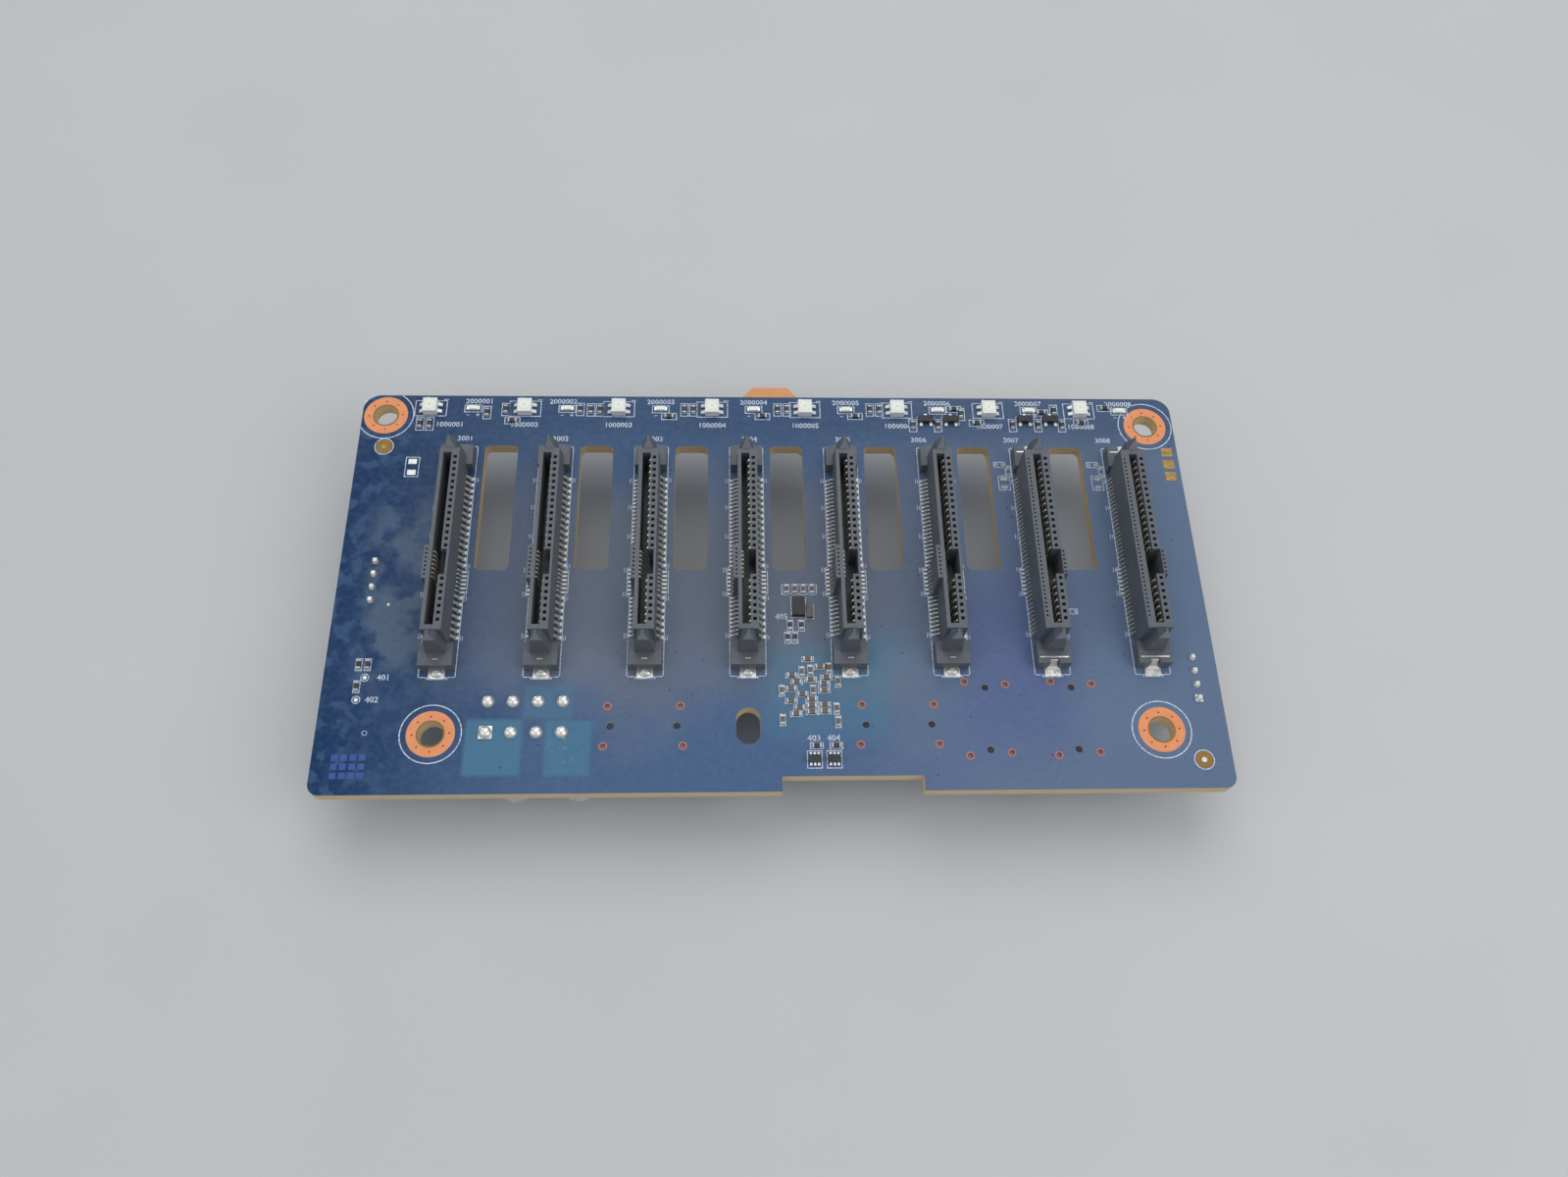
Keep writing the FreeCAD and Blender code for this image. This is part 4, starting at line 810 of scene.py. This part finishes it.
mountRing = {
    "copper": 4.05, "hole": 2.12, "inner": 2.42, "high": 0.02, "ink": 5.2, "inkLine": 0.19,
    "viaCircle": 3.08, "via": 0.17, "vias": 8, "viaTurn": 0.05, "viaTop": 0.035, "viaThick": 0.015,
}
rings, darkRings, viaDots = [], [], []
for name, mount in mounts.items():
    if mount["kind"] != "bore":
        continue
    x, y = (c / mm for c in mount["pos_m"][:2])
    copper, inner, high = mountRing["copper"], mountRing["inner"], mountRing["high"]
    rings.append(cutCentre(addDisc("ring", x, y, high, copper, 64), copper - inner))
    darkRings.append(cutCentre(addDisc("darkRing", x, y, high, inner, 64), inner - mountRing["hole"]))
    for step in range(mountRing["vias"]):
        angle = math.tau * step / mountRing["vias"] + mountRing["viaTurn"]
        viaDots.append(addDisc("via", x + mountRing["viaCircle"] * math.cos(angle),
                               y + mountRing["viaCircle"] * math.sin(angle),
                               mountRing["viaTop"], mountRing["via"], 12))
    circle = cutCentre(addDisc("inkRing", x, y, ink["high"], mountRing["ink"], 72), mountRing["inkLine"])
    editFaces(circle, everyFace)     # the printed circle stops short of the board's edges
    inset = ink["inset"]
    for edgeX, edgeY, away in ((boardLow[0] + inset, 0, (-1, 0, 0)), (boardHigh[0] - inset, 0, (1, 0, 0)),
                               (0, boardHigh[1] - tabHeight - inset, (0, 1, 0))):
        bpy.ops.mesh.select_all(action="SELECT")
        bpy.ops.mesh.bisect(plane_co=(edgeX * mm, edgeY * mm, 0), plane_no=away, clear_outer=True)
    leaveEdit()
    inkSheets.append(circle)
for name, made, finish in (("mountRings", rings, copperBare), ("mountRingEdges", darkRings, copperDark)):
    front = thicken(gather(name, made), mountRing["high"])
    rearTwin = stamp(front, name + "Rear", z=boardLow[2] - mountRing["high"])
    dress(gather(name, [front, rearTwin]), finish)
dress(thicken(gather("mountVias", viaDots), mountRing["viaThick"]), copperRed)
print("mounting rings made")

# solder joints of the rear parts

joint = {
    "power": (1.16, 1.0), "side": (0.68, 0.8),                   # radius and height of the domes
    "lone": (-9.6, 23.8, 0.36, 0.3),                             # x, y, radius, height
    "square": 1.02, "squareHigh": 0.3, "squareSoft": 0.12, "pinStep": 0.55,
}


def solderDome(name, x, y, radius, height, square=False):
    clearSelection()
    bpy.ops.mesh.primitive_uv_sphere_add(segments=24, ring_count=14, radius=mm,
                                         location=(x * mm, y * mm, 0), scale=(radius, radius, height))
    dome = settled(name)
    pickPiece(dome)
    bpy.ops.object.mode_set(mode="EDIT")
    bpy.ops.mesh.select_all(action="SELECT")
    bpy.ops.mesh.bisect(plane_co=(x * mm, y * mm, 0.001 * mm), plane_no=(0, 0, 1),
                        clear_inner=True, use_fill=True)
    leaveEdit()
    if not square:
        return dome
    half = radius * joint["square"]
    pad = addBlock(name, (x - half, y - half, 0), (x + half, y + half, joint["squareHigh"]))
    return gather(name, [dome, soften(pad, joint["squareSoft"], 2)])


powerPins = solidsOf("power_header_pins")
lowerRow = middleOf(powerPins[0])[1] + 1
pinTops = []
for low, high in powerPins:          # the top of each stepped pin stands on the outer side
    pinX, pinY = middleOf((low, high))
    outer = high[1] - joint["pinStep"] if pinY > lowerRow else low[1] + joint["pinStep"]
    pinTops.append((pinX, outer))
domes = []
for place in pinTops:
    domes.append(solderDome("joint", *place, *joint["power"], square=place == min(pinTops)))
rightPins = solidsOf("right_header_pins")
lowestPin = min(rightPins, key=lambda solid: solid[0][1])
for solid in solidsOf("left_header_pins") + rightPins:
    domes.append(solderDome("joint", *middleOf(solid), *joint["side"], square=solid == lowestPin))
domes.append(solderDome("joint", *joint["lone"]))
dress(smooth(gather("solderJoints", domes), 50), jointTin)
print("solder joints made")

# rings round the cable sockets' leg holes, and discs in their leg and peg holes

socketHole = {
    "legs": ((6.15, 3.55), (6.65, -3.55)), "pegs": 5.6,          # from the socket's centre
    "ring": 0.74, "ringWide": 0.28, "ringHigh": 0.03, "tip": 0.6, "tipTop": -0.3, "tipThick": 0.02,
}
legHoles, pegHoles = [], []
for k in range(1, 5):
    cageLow, cageHigh = (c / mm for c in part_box(f"cable_socket_cage_{k}"))
    centreX, centreY = middleOf((cageLow, cageHigh))
    turned = cageHigh[1] - cageLow[1] > cageHigh[0] - cageLow[0]
    for reach, along in socketHole["legs"]:
        for across in (reach, -reach):
            legHoles.append((centreX + along, centreY - across) if turned
                            else (centreX + across, centreY + along))
    for side in (socketHole["pegs"], -socketHole["pegs"]):
        pegHoles.append((centreX, centreY + side) if turned else (centreX + side, centreY))
legRings = [cutCentre(addDisc("legRing", x, y, socketHole["ringHigh"], socketHole["ring"], 28),
                      socketHole["ringWide"]) for x, y in legHoles]
dress(thicken(gather("legHoleRings", legRings), socketHole["ringHigh"]), copperTan)
for name, places, finish in (("legTips", legHoles, legShade), ("pegTips", pegHoles, viaDark)):
    tips = [addDisc(name, x, y, socketHole["tipTop"], socketHole["tip"], 20) for x, y in places]
    dress(thicken(gather(name, tips), socketHole["tipThick"]), finish)
print("socket hole rings made")

# lamps

lampLook = {
    "lens": 1.03, "lensDeep": 0.5, "rise": 0.05, "die": 0.2, "dieRise": 0.062, "legOut": 0.85,
    "legRow": 0.72, "legWide": 0.75, "legHigh": 0.55, "legTip": (1, 0.85, 0.35), "legDrop": -0.17,
    "frame": (3.0, 1.78),
}
lenses, lampLegs, lampDies = [], [], []
for low, high in solidsOf("status_lamps"):
    x, y = middleOf((low, high))
    top = high[2]
    lens = addDrum("lens", x, y, top - lampLook["lensDeep"], top + lampLook["rise"], lampLook["lens"], 28)
    lenses.append(soften(lens, 0.04, 2, 60))
    half = lampLook["die"]
    die = addBlock("die", (x - half, y - half, top), (x + half, y + half, top + lampLook["dieRise"]))
    lampDies.append(soften(die, 0.02, 2))
    for side in (-1, 1):
        wall = low[0] if side < 0 else high[0]
        left, right = sorted((wall, wall + side * lampLook["legOut"]))
        for row in (-lampLook["legRow"], lampLook["legRow"]):
            half = lampLook["legWide"] / 2
            leg = addBlock("leg", (left, y + row - half, 0), (right, y + row + half, lampLook["legHigh"]))
            editFaces(leg, lambda face: face.normal.x * side > 0.9)
            bpy.ops.transform.resize(value=lampLook["legTip"])
            shiftFaces(lampLook["legDrop"])
            leaveEdit()
            lampLegs.append(soften(leg, 0.05, 2))
    halfX, halfY = lampLook["frame"]
    inkFrame(x - halfX, y - halfY, x + halfX, y + halfY)
dress(gather("lampLenses", lenses), lampClear)
dress(gather("lampDies", lampDies), lampDie)
dress(gather("lampLegs", lampLegs), solder)

spotLook = {"endIn": 0.3, "endOut": 0.45, "grow": 0.04, "endHigh": 0.34, "soft": 0.08, "frame": (1.66, 0.85)}
spotEnds = []
for low, high in solidsOf("activity_lamps"):
    x, y = middleOf((low, high))
    for side, end in ((-1, low[0]), (1, high[0])):
        left, right = sorted((end - side * spotLook["endIn"], end + side * spotLook["endOut"]))
        cap = addBlock("spotEnd", (left, low[1] - spotLook["grow"], 0),
                       (right, high[1] + spotLook["grow"], spotLook["endHigh"]))
        spotEnds.append(soften(cap, spotLook["soft"], 2))
    halfX, halfY = spotLook["frame"]
    inkFrame(x - halfX, y - halfY, x + halfX, y + halfY)
dress(gather("spotEnds", spotEnds), solder)
print("lamps made")

# chips: tinned ends with solder, and their printed boxes

chip = {
    "width": 0.75, "height": 0.5, "cap": 0.26, "grow": 0.02, "capSoft": 0.03,
    "fillet": 0.17, "filletHigh": 0.3, "filletSide": 0.06, "filletToe": (1, 0.9, 0.25),
    "filletDrop": -0.11, "filletSoft": 0.05, "closer": 0.55,
    "margins": (                     # of the printed frames, at the sides and at the ends
        ("chip_resistors", 0.4, 0.72), ("chip_capacitors", 0.16, 0.34),
    ),
}


def chipEnd(name):                   # one end, pointing along +X from the chip's end face
    half, grow = chip["width"] / 2, chip["grow"]
    cap = addBlock(name, (-chip["cap"], -half - grow, 0), (grow, half + grow, chip["height"] + grow))
    soften(cap, chip["capSoft"], 1)
    half = half + chip["filletSide"]
    bead = addBlock(name, (0, -half, 0), (chip["fillet"], half, chip["filletHigh"]))
    editFaces(bead, lambda face: face.normal.x > 0.9)
    bpy.ops.transform.resize(value=chip["filletToe"])
    shiftFaces(chip["filletDrop"])
    leaveEdit()
    soften(bead, chip["filletSoft"], 2)
    return gather(name, [cap, bead])


endMaster = chipEnd("chipEnd")
ends = []
for node, marginSide, marginEnd in chip["margins"]:
    for low, high in solidsOf(node):
        x, y = middleOf((low, high))
        upright = high[1] - low[1] > high[0] - low[0]
        half = (high[1] - low[1] if upright else high[0] - low[0]) / 2
        for side in (1, -1):
            heading = (90 if upright else 0) + (0 if side > 0 else 180)
            ends.append(stamp(endMaster, "chipEnd", x + (0 if upright else side * half),
                              y + (side * half if upright else 0), 0, heading))
        outX, outY = (marginSide, marginEnd) if upright else (marginEnd, marginSide)
        if node == "chip_resistors" and y < lampRow / 2:         # closer frames away from the lamps
            outX, outY = outX * chip["closer"], outY * chip["closer"]
        inkFrame(low[0] - outX, low[1] - outY, high[0] + outX, high[1] + outY)
discard(endMaster)
dress(gather("chipEnds", ends), chipTin)

package = {
    "lowest": 0.5,                   # solids below this height are leads
    "grow": 0.09, "leadSoft": 0.06, "gateFrame": (0.3, 0.95), "markOut": (0.15, 0.2, 0.3), "markIn": 0.7,
    "landRows": 6, "landX": 1.15, "landStart": 0.4, "landStep": 0.54, "land": (0.18, 0.12, 0.12),
    "landSoft": 0.04, "chipFrame": (0.25, 0.3, 0.13),
}
leadTin = []
for node in ("lamp_transistors", "logic_gates"):
    for low, high in solidsOf(node):
        if high[2] - low[2] < package["lowest"]:
            grow = package["grow"]
            lead = addBlock("lead", (low[0] - grow, low[1] - grow, 0), [c + grow for c in high])
            leadTin.append(soften(lead, package["leadSoft"], 2))
dress(gather("packageLeads", leadTin), solder)
for low, high in solidsOf("logic_gates"):
    if high[2] - low[2] > package["lowest"]:
        outX, outY = package["gateFrame"]
        inkFrame(low[0] - outX, low[1] - outY, high[0] + outX, high[1] + outY)
for low, high in solidsOf("lamp_transistors"):
    if high[2] - low[2] > package["lowest"]:
        outX, down, rise = package["markOut"]
        for wall, side in ((low[0], -1), (high[0], 1)):
            inkPath(((wall + side * outX, low[1] - down), (wall + side * outX, high[1] + rise),
                     (wall - side * package["markIn"], high[1] + rise)))
chipLow, chipHigh = solidsOf("control_chip")[0]
chipX = middleOf((chipLow, chipHigh))[0]
halfX, halfY, landHigh = package["land"]
chipLands = []
for row in range(package["landRows"]):
    for side in (-1, 1):
        x = chipX + side * package["landX"]
        y = chipLow[1] + package["landStart"] + row * package["landStep"]
        chipLand = addBlock("chipLeg", (x - halfX, y - halfY, 0), (x + halfX, y + halfY, landHigh))
        chipLands.append(soften(chipLand, package["landSoft"], 2))
dress(gather("controlChipLands", chipLands), solder)
outX, outY, line = package["chipFrame"]
inkFrame(chipLow[0] - outX, chipLow[1] - outY, chipHigh[0] + outX, chipHigh[1] + outY, line)

sideCap = {"low": (63.35, 21.0, 0), "high": (64.45, 23.6, 0.7), "frame": (63.1, 20.8, 64.7, 23.75)}
sideBody = soften(addBlock("sideCapacitor", sideCap["low"], sideCap["high"]), 0.06, 2)
dress(sideBody, chipBrown)
inkFrame(*sideCap["frame"])
print("chips dressed")

# bare footprints, test points, fiducials, gold lands

bare = {
    "prints": (                      # centre x, y, width, height, pads run along x; the first is tinned
        (-8.57, 51.8, 2.6, 4.3, False), (100.6, 52.62, 2.24, 1.3, True), (102.13, 51.12, 1.12, 2.57, False),
        (101.15, 48.66, 2.22, 3.19, False), (118.25, 52.62, 2.24, 1.3, True),
        (119.78, 51.12, 1.12, 2.57, False), (118.8, 48.66, 2.22, 3.19, False), (110.8, 22.2, 1.9, 1.1, True),
    ),
    "levelPad": (0.27, 0.0, 0.14, 0.28),         # shares of the frame: off centre in x and y,
    "uprightPad": (0.0, 0.27, 0.3, 0.13),        # half width, half height
    "high": 0.06, "soft": 0.03, "emptyFrame": (59.0, 25.66, 65.3, 27.6),
}
padDiscs, padBlocks = [], []
for x, y, width, height, level in bare["prints"]:
    inkFrame(x - width / 2, y - height / 2, x + width / 2, y + height / 2)
    shareX, shareY, halfX, halfY = bare["levelPad" if level else "uprightPad"]
    for side in (-1, 1):
        padX, padY = x + side * width * shareX, y + side * height * shareY
        pad = addBlock("land", (padX - width * halfX, padY - height * halfY, 0),
                       (padX + width * halfX, padY + height * halfY, bare["high"]))
        padBlocks.append(soften(pad, bare["soft"], 1))
inkFrame(*bare["emptyFrame"])
dress(gather("tinnedLands", padBlocks[:2]), solder)
dress(gather("bareLands", padBlocks[2:]), landDull)

points = {
    "tests": ((-12.02, 10.14), (-13.0, 6.12)), "testRing": (0.72, 0.14), "testPad": 0.34, "padTop": 0.03,
    "loneRing": (-10.86, 0.24, 0.45, 0.1), "fiducials": ((-14.17, 56.2), (130.04, -5.43)),
    "fiducialRing": (1.78, 0.17), "halo": 1.5, "haloThick": 0.015, "mark": 0.45, "markTop": 0.04,
}
for x, y in points["tests"]:
    inkRing(x, y, *points["testRing"], 28)
    padDiscs.append(addDisc("testPad", x, y, points["padTop"], points["testPad"], 20))
inkRing(*points["loneRing"], 20)
halos, marks = [], []
for x, y in points["fiducials"]:
    inkRing(x, y, *points["fiducialRing"], 40)
    halos.append(addDisc("halo", x, y, points["haloThick"], points["halo"], 36))
    marks.append(addDisc("mark", x, y, points["markTop"], points["mark"], 20))
dress(thicken(gather("fiducialHalos", halos), points["haloThick"]), copperDark)
dress(thicken(marks[0], points["padTop"]), goldDull)
padDiscs.append(marks[1])
dress(thicken(gather("testPads", padDiscs), points["padTop"]), solder)

goldLand = {"left": 131.95, "right": 134.05, "half": 0.95, "high": 0.05, "rows": (55.5, 52.8, 50.2)}
goldLands = []
for y in goldLand["rows"]:
    land = addBlock("goldLand", (goldLand["left"], y - goldLand["half"], 0),
                    (goldLand["right"], y + goldLand["half"], goldLand["high"]))
    goldLands.append(soften(land, 0.25, 3))
dress(gather("goldLands", goldLands), goldDull)

square = {"x": -15.2, "y": -7.1, "stepX": 1.5, "stepY": 1.55, "half": 0.55, "high": 0.012, "soft": 0.08}
squares = []
for column in range(4):              # test squares under the mask
    for row in range(3):
        x, y = square["x"] + column * square["stepX"], square["y"] + row * square["stepY"]
        block = addBlock("square", (x - square["half"], y - square["half"], 0),
                         (x + square["half"], y + square["half"], square["high"]))
        squares.append(soften(block, square["soft"], 2))
dress(gather("maskSquares", squares), maskPale)
print("lands and marks made")

# plain numbers beside the lamps and receptacles

numbers = {
    "size": 1.5, "lampOff": -6.4, "lampDown": 3.6, "spotOff": 1.5, "spotUp": 1.62, "bayUp": 40.7,
    "bayOff": (0.6, 0.6, 0.6, 0.6, 0.6, -2.6, -2.6, -2.6),
    "shifts": {0: (3.8, 1.1), 1: (0, -0.8)},     # lamp number and small lamp number of the first two bays
    "lampPlus": (-0.75, 2.15, 1.5), "spotPlus": (0.9, -1.45, 1.4),
    "lampMinus": (2.2, 1.95, 3.2, 2.08), "spotMinus": (-1.2, -1.5, -0.6, -1.37),
    "others": (("401", -8.9, 10.1), ("402", -10.4, 6.1), ("403", 64.0, -1.2), ("404", 67.3, -1.2),
               ("405", 58.9, 21.3)),
}
size = numbers["size"]
for k, (bayX, bayLow) in enumerate(bays):
    lampX, spotX = bayX + numbers["lampOff"], bayX + numbers["spotOff"]
    lampShift, spotShift = numbers["shifts"].get(k, (0, 0))
    inkNumber(f"100000{k + 1}", lampX + lampShift, lampRow - numbers["lampDown"], size)
    inkNumber(f"200000{k + 1}", spotX + spotShift, lampRow + numbers["spotUp"], size)
    inkNumber(f"300{k + 1}", bayX + numbers["bayOff"][k], firstContact + numbers["bayUp"], size)
    for x, part in ((lampX, "lamp"), (spotX, "spot")):           # polarity marks
        outX, outY, height = numbers[part + "Plus"]
        inkNumber("+", x + outX, lampRow + outY, height)
        left, low, right, high = numbers[part + "Minus"]
        inkBar(x + left, lampRow + low, x + right, lampRow + high)
for text, x, y in numbers["others"]:
    inkNumber(text, x, y, size)

flat = gather("boardInk", inkSheets)
thicken(flat, ink["high"])
dress(flat, printInk)
print("printed lines made")

# rear: contacts in the card slots, can sleeves

rear = {
    "contactWide": 0.28, "contactThick": 0.12, "contactPitch": 0.8, "contactCount": 10,
    "contactRows": (-1.72, -0.88, 0.88, 1.72), "contactFrom": 0.5, "contactTo": 5.2,      # from the mouth
    "frameOut": 0.7, "frameInset": 0.3, "line": 0.2,
}
slotRows = []
for k in range(1, 5):
    coreLow, coreHigh = (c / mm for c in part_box(f"cable_socket_insert_{k}"))
    centreX, centreY = middleOf((coreLow, coreHigh))
    turned = coreHigh[1] - coreLow[1] > coreHigh[0] - coreLow[0]
    near, far = coreLow[2] + rear["contactFrom"], coreLow[2] + rear["contactTo"]
    halfWide, halfThick = rear["contactWide"] / 2, rear["contactThick"] / 2
    start = -rear["contactPitch"] * (rear["contactCount"] - 1) / 2
    for depth in rear["contactRows"]:
        if turned:
            x, y, halfX, halfY = centreX + depth, centreY + start, halfThick, halfWide
        else:
            x, y, halfX, halfY = centreX + start, centreY + depth, halfWide, halfThick
        strip = addBlock("strip", (x - halfX, y - halfY, near), (x + halfX, y + halfY, far))
        soften(strip, 0.04, 1)
        slotRows.append(rowOf(strip, rear["contactCount"], rear["contactPitch"], 1 if turned else 0))
dress(gather("cardContacts", slotRows), goldPlate)

rearFrames = []
out, inset = rear["frameOut"], rear["frameInset"]
for name in ("power_header_housing", "left_header_housing", "right_header_housing",
             "can_base_1", "can_base_2", *(f"cable_socket_cage_{k}" for k in range(1, 5))):
    low, high = (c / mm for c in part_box(name))
    left, bottom = max(low[0] - out, boardLow[0] + inset), max(low[1] - out, boardLow[1] + inset)
    right = min(high[0] + out, boardHigh[0] - inset)
    upper = min(high[1] + out, boardHigh[1] - tabHeight - inset)
    sheet = addSheet("rearInk", left, bottom, right, upper, boardLow[2])
    rearFrames.append(cutCentre(sheet, rear["line"]))
dress(thicken(gather("rearInk", rearFrames), ink["high"]), printInk)

canLook = {
    "collar": 0.4, "beforeGroove": 0.5, "groove": 0.25, "grooveShare": 0.9,
    "rim": ((0.25, 0.96), (0.1, 0.9)), "endInset": 0.3, "endSink": 0.08,
}
for k in (1, 2):
    canLow, canHigh = (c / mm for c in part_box(f"can_shell_{k}"))
    x, y = middleOf((canLow, canHigh))
    radius = (canHigh[0] - canLow[0]) / 2
    can = addDrum(f"canSleeve_{k}", x, y, canHigh[2] - canLook["collar"], canHigh[2], radius, 48)
    editFaces(can, lambda face: face.normal.z < -0.9)
    before, groove, share = canLook["beforeGroove"], canLook["groove"], canLook["grooveShare"]
    drops = before + groove * 2 + sum(step[0] for step in canLook["rim"])
    wall = canHigh[2] - canLow[2] - canLook["collar"] - drops
    for drop, shrink in ((before, 1), (groove, share), (groove, 1 / share), (wall, 1), *canLook["rim"]):
        pullFaces(0, 0, -drop, shrink, shrink)
    bpy.ops.mesh.inset(thickness=canLook["endInset"] * mm)
    shiftFaces(canLook["endSink"])
    leaveEdit()
    smooth(can, 35)
    dress(can, canAluminium)
    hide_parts(f"can_shell_{k}")
print("rear details made")

clearSelection()
